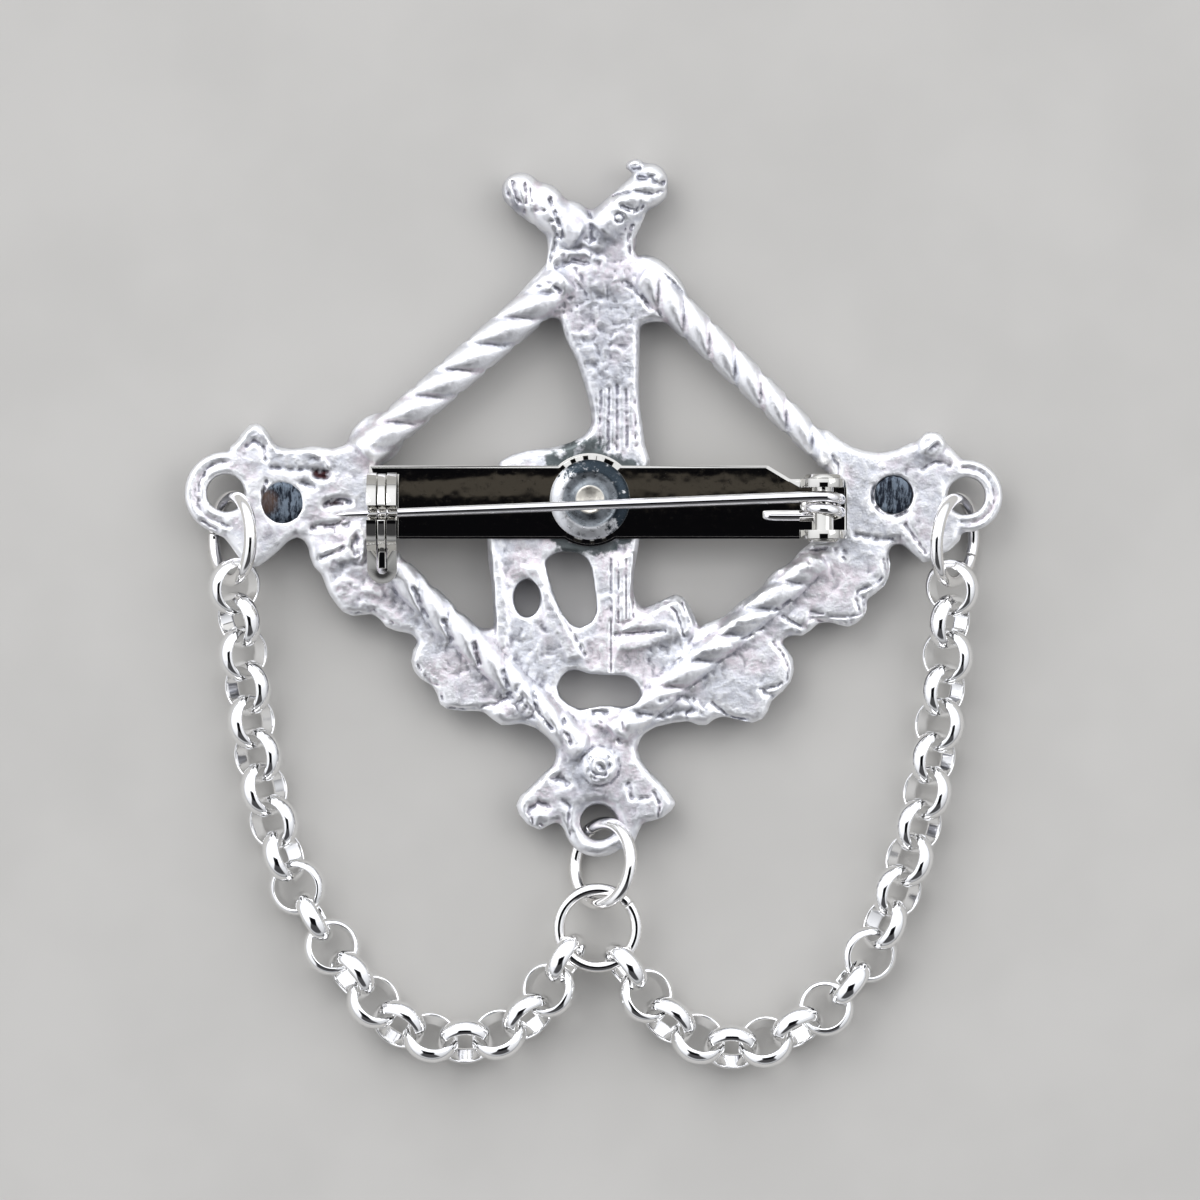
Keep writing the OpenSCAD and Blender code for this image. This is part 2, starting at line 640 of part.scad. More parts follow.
module link(centre, way, roll) {
    flat = norm([way[0], way[1]]);
    ease = 0.22 * link_thick;
    translate(centre)
        rotate([0, -atan2(way[2], flat), atan2(way[1], way[0])])
            rotate([roll, 0, 0])
                rotate_extrude($fn = 36)
                    translate([link_diameter / 2 - link_thick, -link_wide / 2])
                        polygon([[0, 2 * ease], [ease, 0], [link_thick - 1.6 * ease, 0],
                            [link_thick, 2 * ease], [link_thick, link_wide - 2 * ease],
                            [link_thick - 1.6 * ease, link_wide], [ease, link_wide],
                            [0, link_wide - 2 * ease]]);
}

module chain(route, rolls, turn) {
    spots = centres(route);
    last = len(spots) - 1;
    for (i = [0 : last])
        link(spots[i], spots[min(last, i + 1)] - spots[max(0, i - 1)],
            lookup(i / last, rolls) + (i % 2 == 0 ? 0 : turn));
}

module chain_left() {
    color("silver")
        chain(LEFT_LINE, LEFT_ROLL, 90);
}

module chain_right() {
    color("silver")
        chain(RIGHT_LINE, RIGHT_ROLL, -90);
}

brooch_casting();
left_rivet();
right_rivet();
pin_bar();
bar_rivet();
catch_rotor();
pin_stem();
hinge_rivet();
left_lug_ring();
right_lug_ring();
upper_drop_ring();
lower_drop_ring();
chain_left();
chain_right();
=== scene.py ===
"""Looks of a chained lapel brooch, lying on its front and seen from its pinned back.

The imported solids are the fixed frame. The casting, the bar, the pin and the rings are remade over them
with softer forms, and the chain links are one pattern link set on each solid link.
"""

from __future__ import annotations

import logging
import math
from dataclasses import dataclass
from enum import Enum

import bpy
import numpy as np
from mathutils import Euler, Matrix, Vector, noise


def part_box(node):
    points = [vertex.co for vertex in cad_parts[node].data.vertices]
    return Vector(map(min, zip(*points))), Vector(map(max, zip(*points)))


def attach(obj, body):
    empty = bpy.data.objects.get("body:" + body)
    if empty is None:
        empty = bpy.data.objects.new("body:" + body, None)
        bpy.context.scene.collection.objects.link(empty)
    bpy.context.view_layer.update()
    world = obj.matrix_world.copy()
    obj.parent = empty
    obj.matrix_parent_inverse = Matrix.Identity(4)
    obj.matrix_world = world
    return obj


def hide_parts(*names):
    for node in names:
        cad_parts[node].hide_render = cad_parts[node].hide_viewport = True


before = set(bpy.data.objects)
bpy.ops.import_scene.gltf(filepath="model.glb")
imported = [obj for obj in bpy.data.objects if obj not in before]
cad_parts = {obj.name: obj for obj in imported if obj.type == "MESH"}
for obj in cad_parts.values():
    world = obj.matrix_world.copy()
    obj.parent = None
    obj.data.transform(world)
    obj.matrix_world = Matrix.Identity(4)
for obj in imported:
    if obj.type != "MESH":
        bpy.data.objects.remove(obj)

MM = 0.001
UNIT_MM = 0.08
UNIT = UNIT_MM * MM
ORIGIN_X = 597
ORIGIN_Y = 500

log = logging.getLogger("lapel_chain")


class Body(Enum):
    """The bodies that the pieces ride on."""

    BROOCH = "brooch"
    PIN = "pin"
    ROTOR = "rotor"


class Slot(Enum):
    """The material slots of the record."""

    CAST = "cast_metal"
    SET_PIN = "set_pin_metal"
    BAR = "bar_metal"
    RIVET = "rivet_metal"
    CATCH = "catch_metal"
    PIN = "pin_metal"
    RING = "ring_metal"
    CHAIN = "chain_metal"


def spot(px: float, py: float, z: float = 0.0) -> Vector:
    """A point of the drawing as metres in the frame.

    Args:
        px: drawing units to the right.
        py: drawing units down.
        z: height in mm.

    Returns:
        The point in metres.
    """
    return Vector(((px - ORIGIN_X) * UNIT, (ORIGIN_Y - py) * UNIT, z * MM))


def drawing(co: np.ndarray) -> tuple[np.ndarray, np.ndarray]:
    """Drawing units to the right and down, from points in metres."""
    return co[:, 0] / UNIT + ORIGIN_X, ORIGIN_Y - co[:, 1] / UNIT


RIVET_MIDDLE = spot(590, 500)


def calm() -> None:
    """Leave edit mode and deselect everything."""
    if bpy.context.object and bpy.context.object.mode != "OBJECT":
        bpy.ops.object.mode_set(mode="OBJECT")
    bpy.ops.object.select_all(action="DESELECT")


def take(obj: bpy.types.Object) -> None:
    """Make obj the only selected and the active object."""
    calm()
    obj.select_set(True)
    bpy.context.view_layer.objects.active = obj


def edit(obj: bpy.types.Object, mode: str = "VERT") -> None:
    """Open obj in edit mode with everything selected.

    Args:
        obj: the mesh to edit.
        mode: VERT, EDGE or FACE selection.
    """
    take(obj)
    bpy.ops.object.mode_set(mode="EDIT")
    bpy.ops.mesh.select_mode(type=mode)
    bpy.ops.mesh.select_all(action="SELECT")


def done() -> None:
    """Close edit mode."""
    bpy.ops.object.mode_set(mode="OBJECT")


def started(name: str) -> bpy.types.Object:
    """Name the primitive that was just added and put its place into its mesh.

    Args:
        name: the piece's name.

    Returns:
        The new object at the origin.
    """
    obj = bpy.context.object
    obj.name = name
    obj.data.name = name
    bpy.ops.object.transform_apply(location=True, rotation=True, scale=True)
    return obj


def merged_copy(node: str, name: str) -> bpy.types.Object:
    """A copy of a solid with its loose triangles joined.

    Args:
        node: the solid's name.
        name: the new piece's name.

    Returns:
        The copy, parented to nothing.
    """
    take(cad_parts[node])
    bpy.ops.object.duplicate()
    obj = bpy.context.object
    obj.parent = None
    for key in list(obj.keys()):
        del obj[key]
    obj.name = name
    obj.data.name = name
    obj.data.materials.clear()
    edit(obj)
    bpy.ops.mesh.remove_doubles(threshold=0.002 * MM)
    done()
    return obj


def applied(obj: bpy.types.Object, kind: str, **settings: object) -> None:
    """Add a modifier, set it and apply it.

    Args:
        obj: the piece.
        kind: the modifier's type.
        settings: its values by name.
    """
    take(obj)
    modifier = obj.modifiers.new(kind.lower(), kind)
    for key, value in settings.items():
        setattr(modifier, key, value)
    bpy.ops.object.modifier_apply(modifier=modifier.name)


def outward(obj: bpy.types.Object) -> None:
    """Merge doubles and turn all faces outwards."""
    edit(obj)
    bpy.ops.mesh.remove_doubles(threshold=0.001 * MM)
    bpy.ops.mesh.normals_make_consistent(inside=False)
    done()


def smooth(obj: bpy.types.Object, angle: float = 180.0) -> None:
    """Shade smooth, with edges sharper than angle kept.

    Args:
        obj: the piece.
        angle: degrees.
    """
    take(obj)
    if angle >= 180:
        bpy.ops.object.shade_smooth()
    else:
        bpy.ops.object.shade_smooth_by_angle(angle=math.radians(angle))


def joined(objs: list[bpy.types.Object], name: str) -> bpy.types.Object:
    """Join several meshes into one object.

    Args:
        objs: the meshes, the first of which is kept.
        name: the joined piece's name.

    Returns:
        The joined piece.
    """
    take(objs[0])
    for other in objs[1:]:
        other.select_set(True)
    bpy.ops.object.join()
    obj = bpy.context.object
    obj.name = name
    obj.data.name = name
    return obj


def coords(obj: bpy.types.Object) -> np.ndarray:
    """All vertex positions of a mesh, in metres."""
    co = np.empty(len(obj.data.vertices) * 3, np.float32)
    obj.data.vertices.foreach_get("co", co)
    return co.reshape(-1, 3).astype(float)


def vertex_normals(obj: bpy.types.Object) -> np.ndarray:
    """All vertex normals of a mesh."""
    no = np.empty(len(obj.data.vertices) * 3, np.float32)
    obj.data.vertices.foreach_get("normal", no)
    return no.reshape(-1, 3).astype(float)


def set_coords(obj: bpy.types.Object, co: np.ndarray) -> None:
    """Write vertex positions back to a mesh."""
    obj.data.vertices.foreach_set("co", co.astype(np.float32).ravel())
    obj.data.update()


def dress(obj: bpy.types.Object, material: bpy.types.Material, body: Body, slot: Slot, *nodes: str) -> None:
    """Give a finished piece its material and its body, and hide the solids that it stands for.

    Args:
        obj: the piece.
        material: its finish.
        body: the body that it rides on.
        slot: not used.
        nodes: the solids that it stands for.
    """
    obj.data.materials.clear()
    obj.data.materials.append(material)
    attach(obj, body.value)
    if nodes:
        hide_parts(*nodes)
    obj.data.calc_loop_triangles()
    log.info("%s: %d triangles on %s", obj.name, len(obj.data.loop_triangles), body.value)


class Tree:
    """A small helper that adds and links the nodes of one node tree."""

    def __init__(self, tree: bpy.types.NodeTree) -> None:
        """Work on a tree.

        Args:
            tree: the node tree.
        """
        self.tree = tree

    def node(self, kind: str, **values: object) -> bpy.types.Node:
        """Add a node.

        Args:
            kind: its type.
            values: properties to set on it.

        Returns:
            The node.
        """
        made = self.tree.nodes.new(kind)
        for key, value in values.items():
            setattr(made, key, value)
        return made

    def feed(self, socket: bpy.types.NodeSocket, value: object) -> None:
        """Link an output to a socket, or set the socket's own value.

        Args:
            socket: the input.
            value: an output socket, a number or a colour.
        """
        if isinstance(value, bpy.types.NodeSocket):
            self.tree.links.new(value, socket)
        elif isinstance(value, tuple) and len(value) == 3 and socket.type == "RGBA":
            socket.default_value = (*value, 1.0)
        else:
            socket.default_value = value

    def math(self, operation: str, a: object, b: object = 0.0, c: object = 0.5) -> bpy.types.NodeSocket:
        """A Math node.

        Args:
            operation: its operation.
            a: first value.
            b: second value.
            c: third value, where the operation has one.

        Returns:
            Its output.
        """
        made = self.node("ShaderNodeMath", operation=operation)
        for socket, value in zip(made.inputs, (a, b, c)):
            self.feed(socket, value)
        return made.outputs[0]

    def ramp(self, value: object, *stops: tuple[float, tuple[float, float, float]]) -> bpy.types.NodeSocket:
        """A colour ramp.

        Args:
            value: where on the ramp.
            stops: positions and colours, from low to high.

        Returns:
            The colour.
        """
        made = self.node("ShaderNodeValToRGB")
        self.feed(made.inputs["Fac"], value)
        band = made.color_ramp
        while len(band.elements) < len(stops):
            band.elements.new(0.5)
        for element, (at, colour) in zip(band.elements, stops):
            element.position = at
            element.color = (*colour, 1.0)
        return made.outputs["Color"]

    def span(self, value: object, low: float, high: float, to_low: float = 0.0,
             to_high: float = 1.0) -> bpy.types.NodeSocket:
        """A smooth Map Range.

        Args:
            value: the input.
            low: start of the input range.
            high: end of the input range.
            to_low: output at the start.
            to_high: output at the end.

        Returns:
            The mapped value.
        """
        made = self.node("ShaderNodeMapRange", interpolation_type="SMOOTHSTEP")
        self.feed(made.inputs["Value"], value)
        for key, number in zip(("From Min", "From Max", "To Min", "To Max"), (low, high, to_low, to_high)):
            made.inputs[key].default_value = number
        return made.outputs["Result"]

    def mix(self, factor: object, a: object, b: object) -> bpy.types.NodeSocket:
        """Mix two colours.

        Args:
            factor: share of the second.
            a: first colour.
            b: second colour.

        Returns:
            The colour.
        """
        made = self.node("ShaderNodeMix", data_type="RGBA")
        self.feed(made.inputs[0], factor)
        self.feed(made.inputs[6], a)
        self.feed(made.inputs[7], b)
        return made.outputs[2]


class Paint(Tree):
    """The node tree of one material, in object coordinates."""

    def __init__(self, name: str) -> None:
        """Start a material.

        Args:
            name: its name.
        """
        self.material = bpy.data.materials.new(name)
        self.material.use_nodes = True
        super().__init__(self.material.node_tree)
        self.shader = self.tree.nodes["Principled BSDF"]
        self.place = self.node("ShaderNodeTexCoord").outputs["Object"]

    def noise(self, scale: float, detail: float = 3.0, rough: float = 0.55,
              stretch: tuple[float, float, float] = (1, 1, 1)) -> bpy.types.NodeSocket:
        """A noise pattern on object coordinates.

        Args:
            scale: features per metre.
            detail: octaves.
            rough: share of the finer octaves.
            stretch: scale along each axis.

        Returns:
            The pattern's value.
        """
        mapping = self.node("ShaderNodeMapping")
        self.feed(mapping.inputs["Vector"], self.place)
        mapping.inputs["Scale"].default_value = stretch
        made = self.node("ShaderNodeTexNoise")
        self.feed(made.inputs["Vector"], mapping.outputs[0])
        made.inputs["Scale"].default_value = scale
        made.inputs["Detail"].default_value = detail
        made.inputs["Roughness"].default_value = rough
        return made.outputs["Fac"]

    def attribute(self, name: str) -> bpy.types.NodeSocket:
        """A number stored on the mesh's points."""
        made = self.node("ShaderNodeAttribute", attribute_name=name)
        return made.outputs["Fac"]

    def near(self, centre: Vector, inner: float, outer: float) -> bpy.types.NodeSocket:
        """A round mask in plan.

        Args:
            centre: its middle.
            inner: radius in metres where it is full.
            outer: radius in metres where it ends.

        Returns:
            1 inside and 0 outside.
        """
        mapping = self.node("ShaderNodeMapping")
        self.feed(mapping.inputs["Vector"], self.place)
        mapping.inputs["Location"].default_value = (-centre.x, -centre.y, 0)
        mapping.inputs["Scale"].default_value = (1, 1, 0)
        made = self.node("ShaderNodeVectorMath", operation="LENGTH")
        self.feed(made.inputs[0], mapping.outputs[0])
        return self.span(made.outputs["Value"], inner, outer, 1.0, 0.0)

    def bump(self, height: object, depth: float, below: object = None) -> bpy.types.NodeSocket:
        """A Bump node.

        Args:
            height: the pattern.
            depth: its full height in metres.
            below: a normal to build on.

        Returns:
            The normal.
        """
        made = self.node("ShaderNodeBump")
        made.inputs["Strength"].default_value = 1.0
        made.inputs["Distance"].default_value = depth
        self.feed(made.inputs["Height"], height)
        if below is not None:
            self.feed(made.inputs["Normal"], below)
        return made.outputs["Normal"]

    def finish(self, colour: object, rough: object, normal: object = None,
               metallic: float = 1.0) -> bpy.types.Material:
        """Connect the shader.

        Args:
            colour: base colour.
            rough: roughness.
            normal: normal or None.
            metallic: share of metal.

        Returns:
            The finished material.
        """
        self.feed(self.shader.inputs["Base Color"], colour)
        self.feed(self.shader.inputs["Roughness"], rough)
        self.shader.inputs["Metallic"].default_value = metallic
        if normal is not None:
            self.feed(self.shader.inputs["Normal"], normal)
        return self.material


@dataclass(frozen=True)
class CastFinish:
    """Frosted white metal of the casting, with painted shade and tarnish in the hollows, painted highlight
    on crests, painted shade on steep sides, darker patches and a dark stain at the middle.
    """

    # Pale colour of the random flecks, and of the painted highlight on the crests.
    crest: tuple[float, float, float] = (0.94, 0.945, 0.965)
    body: tuple[float, float, float] = (0.72, 0.735, 0.79)
    blush: tuple[float, float, float] = (0.80, 0.735, 0.78)
    # Colour of the painted shade and tarnish in the hollows.
    tarnish_and_shade: tuple[float, float, float] = (0.19, 0.19, 0.23)
    # Grey of the darker patches, also used for the painted shade on the steep sides.
    dull: tuple[float, float, float] = (0.36, 0.37, 0.42)
    rust: tuple[float, float, float] = (0.045, 0.018, 0.02)
    stain: tuple[float, float, float] = (0.05, 0.07, 0.07)
    stain_radii: tuple[float, float] = (3.8 * MM, 5.4 * MM)
    stain_limits: tuple[float, float] = (4.7 * MM, 6.0 * MM)
    side_shade_share: float = 0.62
    fleck_depth: float = 0.045 * MM
    grain_depth: float = 0.012 * MM

    def material(self) -> bpy.types.Material:
        """Build the material."""
        paint = Paint("cast_white_metal")
        cloud = paint.noise(260, 4)
        fleck = paint.noise(2300, 5, 0.65)
        grain = paint.noise(6500, 3, 0.6)
        tone = paint.mix(paint.span(cloud, 0.42, 0.62), self.body, self.blush)
        tone = paint.mix(paint.span(fleck, 0.44, 0.68, 0.0, 0.8), tone, self.crest)
        # Painted highlight on the raised crests.
        tone = paint.mix(paint.span(paint.attribute("crest"), 0.05, 0.7), tone, self.crest)
        # Painted shade and tarnish in the hollows, weaker where the flecks are pale.
        hollow_tarnish_and_shade = paint.math("MULTIPLY", paint.span(paint.attribute("hollow"), 0.1, 0.85),
                         paint.span(fleck, 0.3, 0.62, 1.0, 0.6))
        # Patches of the stem, neck, horn tip, foot and right wing painted darker grey.
        tone = paint.mix(paint.attribute("dull"), tone, self.dull)
        tone = paint.mix(hollow_tarnish_and_shade, tone, self.tarnish_and_shade)
        # Painted shade on the steep sides.
        tone = paint.mix(paint.math("MULTIPLY", paint.attribute("side"), self.side_shade_share), tone, self.dull)
        tone = paint.mix(paint.attribute("rust"), tone, self.rust)
        blur = paint.span(paint.noise(900, 4), 0.3, 0.7, -0.5, 0.5)
        patch = paint.math("ADD", paint.near(RIVET_MIDDLE, *self.stain_radii), blur)
        limit = paint.near(RIVET_MIDDLE, *self.stain_limits)
        patch = paint.math("MULTIPLY", paint.span(patch, 0.2, 0.8), limit)
        tone = paint.mix(paint.math("MULTIPLY", patch, 0.9), tone, self.stain)
        rough = paint.span(fleck, 0.3, 0.7, 0.48, 0.32)
        normal = paint.bump(fleck, self.fleck_depth)
        normal = paint.bump(grain, self.grain_depth, normal)
        return paint.finish(tone, rough, normal, 0.95)


@dataclass(frozen=True)
class MirrorFinish:
    """Polished plating, with fine scuffs and a slow waver."""

    name: str
    colour: tuple[float, float, float]
    dull: tuple[float, float, float]
    rough_low: float = 0.03
    rough_high: float = 0.12
    waver: float = 0.004 * MM
    waver_scale: float = 420.0
    speck_scale: float = 2200.0

    def material(self) -> bpy.types.Material:
        """Build the material."""
        paint = Paint(self.name)
        scuff = paint.noise(self.speck_scale, 5, 0.7)
        slow = paint.noise(self.waver_scale, 2)
        tone = paint.mix(paint.span(scuff, 0.56, 0.74), self.colour, self.dull)
        rough = paint.span(scuff, 0.5, 0.8, self.rough_low, self.rough_high)
        return paint.finish(tone, rough, paint.bump(slow, self.waver))


@dataclass(frozen=True)
class SlateFinish:
    """Rough blue-grey ends of the set pins."""

    pale: tuple[float, float, float] = (0.15, 0.185, 0.23)
    dark: tuple[float, float, float] = (0.008, 0.012, 0.022)
    glint: tuple[float, float, float] = (0.33, 0.36, 0.40)
    brown: tuple[float, float, float] = (0.09, 0.055, 0.04)

    def material(self) -> bpy.types.Material:
        """Build the material."""
        paint = Paint("slate_pin_end")
        streak = paint.noise(2400, 5, 0.7, (1.0, 0.32, 1.0))
        speck = paint.noise(5200, 3, 0.6)
        tone = paint.mix(paint.span(streak, 0.42, 0.58), self.dark, self.pale)
        tone = paint.mix(paint.span(speck, 0.66, 0.8), tone, self.glint)
        patch = paint.math("MULTIPLY", paint.near(spot(266, 502), 0.5 * MM, 1.4 * MM), 0.8)
        tone = paint.mix(patch, tone, self.brown)
        normal = paint.bump(streak, 0.1 * MM)
        return paint.finish(tone, paint.span(speck, 0.3, 0.7, 0.38, 0.6), normal, 0.75)


@dataclass(frozen=True)
class RivetFinish:
    """Domed rivet head: flat grey ring, and an outer ring mottled with painted highlight and painted dark
    reflection, brighter towards the lower left.
    """

    # Painted highlight and painted dark reflection of the outer ring.
    bright: tuple[float, float, float] = (0.72, 0.73, 0.75)
    dark_reflection: tuple[float, float, float] = (0.025, 0.035, 0.045)
    grey: tuple[float, float, float] = (0.13, 0.145, 0.16)
    pale_grey: tuple[float, float, float] = (0.23, 0.25, 0.27)
    dimple: tuple[float, float, float] = (0.72, 0.69, 0.62)

    def material(self) -> bpy.types.Material:
        """Build the material."""
        paint = Paint("rivet_head_metal")
        speck = paint.noise(1500, 5, 0.7)
        # The outer ring is painted brighter towards the lower left, as a highlight.
        highlight_lean = paint.node("ShaderNodeVectorMath", operation="DOT_PRODUCT")
        paint.feed(highlight_lean.inputs[0], paint.place)
        highlight_lean.inputs[1].default_value = (-0.8, -0.6, 0.0)
        side = paint.span(highlight_lean.outputs["Value"], -1.0 * MM, 2.4 * MM)
        reflection_mottle = paint.math("ADD", speck, paint.math("MULTIPLY", side, 0.3))
        # Outer ring mottled from painted dark reflection to painted highlight.
        outer = paint.mix(paint.span(reflection_mottle, 0.55, 0.72), self.dark_reflection, self.bright)
        inner = paint.mix(paint.span(speck, 0.35, 0.7), self.grey, self.pale_grey)
        tone = paint.mix(paint.near(RIVET_MIDDLE, 2.1 * MM, 2.3 * MM), outer, inner)
        tone = paint.mix(paint.near(RIVET_MIDDLE, 1.05 * MM, 1.2 * MM), tone, self.dimple)
        rough = paint.span(speck, 0.3, 0.7, 0.22, 0.42)
        return paint.finish(tone, rough, paint.bump(speck, 0.05 * MM), 0.9)


@dataclass(frozen=True)
class Stroke:
    """A tool stroke on the casting, in drawing units, that cuts in or raises the surface."""

    path: tuple[tuple[float, float], ...]
    width: float
    depth: float


@dataclass(frozen=True)
class Lump:
    """A soft lump cast onto the body, placed in drawing units, with its half sizes in mm."""

    at: tuple[float, float, float]
    half: tuple[float, float, float]
    turn: float = 0.0


@dataclass(frozen=True)
class Rope:
    """A twisted rope seen from above, in drawing units, with radii and level in mm."""

    start: tuple[float, float]
    end: tuple[float, float]
    radii: tuple[float, float]
    level: float
    pitch: float
    first: float
    groove: float = 0.3
    slit: float = 0.22

    def surface(self, px: np.ndarray, py: np.ndarray) -> tuple[np.ndarray, np.ndarray]:
        """Height of the twisted strands.

        Args:
            px: drawing units to the right.
            py: drawing units down.

        Returns:
            The height in mm and how far the rope holds at each point, 0 to 1.
        """
        a, b = np.array(self.start), np.array(self.end)
        long = float(np.hypot(*(b - a)))
        e = (b - a) / long
        dx, dy = px - a[0], py - a[1]
        s = dx * e[0] + dy * e[1]
        w = dx * e[1] - dy * e[0]
        share = np.clip(s / long, 0, 1)
        r = (self.radii[0] + (self.radii[1] - self.radii[0]) * share) / UNIT_MM
        u = np.clip(w / r, -0.995, 0.995)
        phase = (s + r * np.arcsin(u) - self.first) / self.pitch
        gap = np.abs(phase - np.round(phase))
        crest = np.sin(np.pi * gap) ** 0.62
        arch = np.sqrt(1 - u ** 2)
        z = self.level + r * UNIT_MM * arch * (1 - self.groove * (1 - crest))
        z -= self.slit * np.exp(-((u + 0.1) / 0.4) ** 2) * np.clip(1 - gap / 0.2, 0, 1) ** 1.5
        hold = np.clip((1.0 - np.abs(w / r)) / 0.1, 0, 1)
        hold *= np.clip(s / 22, 0, 1) ** 0.7 * np.clip((long - s) / 22, 0, 1) ** 0.7
        return z, hold


@dataclass(frozen=True)
class Zone:
    """A crumpled patch of the casting: two sides and a soft edge each way, in drawing units."""

    across: tuple[float, float, float]
    down: tuple[float, float, float]
    share: float = 1.0

    def weight(self, px: np.ndarray, py: np.ndarray) -> np.ndarray:
        """How crumpled each point is.

        Args:
            px: drawing units to the right.
            py: drawing units down.

        Returns:
            0 to the zone's share for each point.
        """
        return self.fade(px, *self.across) * self.fade(py, *self.down) * self.share

    @staticmethod
    def fade(value: np.ndarray, low: float, high: float, edge: float) -> np.ndarray:
        """1 between low and high, with soft ends."""
        return np.clip((value - low) / edge, 0, 1) * np.clip((high - value) / edge, 0, 1)


@dataclass
class Casting:
    """The white metal casting with its ropes, leaf wings, pierced panel and hook."""

    voxel: float = 0.15 * MM
    most_triangles: int = 192000
    rope_floor: float = 2.6
    lowest: float = 0.02 * MM
    swell: float = 0.035
    swell_off_ropes: float = 0.025
    grain: float = 0.008
    crumple: float = 0.04
    wrinkle: float = 0.05
    zones: tuple[Zone, ...] = ()
    seed: int = 4
    lumps: tuple[Lump, ...] = ()
    ropes: tuple[Rope, ...] = ()
    strokes: tuple[Stroke, ...] = ()
    rust: tuple[Stroke, ...] = ()
    # Strokes along which the colour is painted darker.
    dull: tuple[Stroke, ...] = ()
    finish: CastFinish = CastFinish()

    def build(self) -> bpy.types.Object:
        """Make the casting.

        Returns:
            The dressed piece.
        """
        obj = merged_copy("brooch_casting", "casting_body")
        obj = joined([obj] + [self.lump(one) for one in self.lumps], "casting_body")
        applied(obj, "REMESH", mode="VOXEL", voxel_size=self.voxel)
        self.fill_creases(obj, 16)
        applied(obj, "SMOOTH", factor=0.5, iterations=2)
        self.carve(obj)
        obj.data.calc_loop_triangles()
        have = len(obj.data.loop_triangles)
        if have > self.most_triangles:
            applied(obj, "DECIMATE", ratio=self.most_triangles / have)
        self.shade_marks(obj)
        smooth(obj)
        dress(obj, self.finish.material(), Body.BROOCH, Slot.CAST, "brooch_casting")
        return obj

    @staticmethod
    def lump(one: Lump) -> bpy.types.Object:
        """Add one soft lump, flatter on top than an egg.

        Args:
            one: the lump.

        Returns:
            Its mesh.
        """
        calm()
        bpy.ops.mesh.primitive_uv_sphere_add(segments=24, ring_count=14, radius=1.0)
        obj = started("lump")
        co = coords(obj)
        co[:, 2] = np.sign(co[:, 2]) * np.abs(co[:, 2]) ** 0.66
        set_coords(obj, co)
        turn = Euler((0, 0, math.radians(one.turn)))
        obj.data.transform(Matrix.LocRotScale(spot(*one.at), turn, Vector(one.half) * MM))
        return obj

    @staticmethod
    def neighbours(obj: bpy.types.Object) -> tuple[np.ndarray, np.ndarray, np.ndarray]:
        """Edges of a mesh as two lists of points, and how many edges each point has."""
        edges = np.empty(len(obj.data.edges) * 2, np.int32)
        obj.data.edges.foreach_get("vertices", edges)
        a, b = edges.reshape(-1, 2).T
        n = len(obj.data.vertices)
        return a, b, np.maximum(np.bincount(a, minlength=n) + np.bincount(b, minlength=n), 1)

    @staticmethod
    def relaxed(co: np.ndarray, links: tuple[np.ndarray, np.ndarray, np.ndarray]) -> np.ndarray:
        """The mean of each point's neighbours."""
        a, b, count = links
        total = np.empty_like(co)
        for k in range(3):
            total[:, k] = np.bincount(a, co[b, k], len(co)) + np.bincount(b, co[a, k], len(co))
        return total / count[:, None]

    def fill_creases(self, obj: bpy.types.Object, rounds: int) -> None:
        """Let metal run into the inside corners, and leave the outside ones.

        Args:
            obj: the remeshed casting.
            rounds: how many times.
        """
        links = self.neighbours(obj)
        co = coords(obj)
        for step in range(rounds):
            if step % 4 == 0:
                set_coords(obj, co)
                normal = vertex_normals(obj)
            move = self.relaxed(co, links) - co
            out = np.einsum("ij,ij->i", move, normal)
            co += normal * np.clip(out, 0, None)[:, None] * 0.9
        set_coords(obj, co)

    def carve(self, obj: bpy.types.Object) -> None:
        """Work the ropes, the strokes and the crumpled skin into the upper faces.

        Args:
            obj: the remeshed casting.
        """
        co = coords(obj)
        up = np.clip((vertex_normals(obj)[:, 2] - 0.1) / 0.4, 0, 1)
        px, py = drawing(co)
        z = co[:, 2] / MM
        for rope in self.ropes:
            target, hold = rope.surface(px, py)
            hold = hold * up * np.clip((target - self.rope_floor) / 0.3, 0, 1)
            z += (target - z) * hold
        co[:, 2] = z * MM
        set_coords(obj, co)
        self.fill_creases(obj, 8)
        co = coords(obj)
        up = np.clip((vertex_normals(obj)[:, 2] - 0.15) / 0.45, 0, 1)
        lift = self.skin(co, px, py, up)
        for stroke in self.strokes:
            lift -= stroke.depth * self.reach(px, py, stroke)
        co[:, 2] += up * lift * MM
        co[:, 2] = np.maximum(co[:, 2], self.lowest)
        set_coords(obj, co)

    @staticmethod
    def reach(px: np.ndarray, py: np.ndarray, stroke: Stroke) -> np.ndarray:
        """How strongly a stroke works at each point.

        Args:
            px: drawing units to the right.
            py: drawing units down.
            stroke: the stroke.

        Returns:
            0 to 1 for each point.
        """
        path = np.array(stroke.path, float)
        w = stroke.width
        out = np.zeros(len(px))
        low, high = path.min(0) - w, path.max(0) + w
        idx = np.nonzero((px > low[0]) & (px < high[0]) & (py > low[1]) & (py < high[1]))[0]
        if not len(idx):
            return out
        p = np.stack([px[idx], py[idx]], 1)
        best = np.full(len(idx), 1e9)
        for a, b in zip(path[:-1], path[1:]):
            d = b - a
            t = np.clip(((p - a) @ d) / max(d @ d, 1e-9), 0, 1)
            best = np.minimum(best, np.hypot(*(p - a - t[:, None] * d).T))
        shake = np.array([noise.noise(Vector((x * 0.16, y * 0.16, w))) for x, y in p])
        q = np.clip(1 - ((best + 0.45 * w * shake) / w) ** 2, 0, 1) * np.clip(1 + shake, 0.4, 1.3)
        out[idx] = q * q
        return out

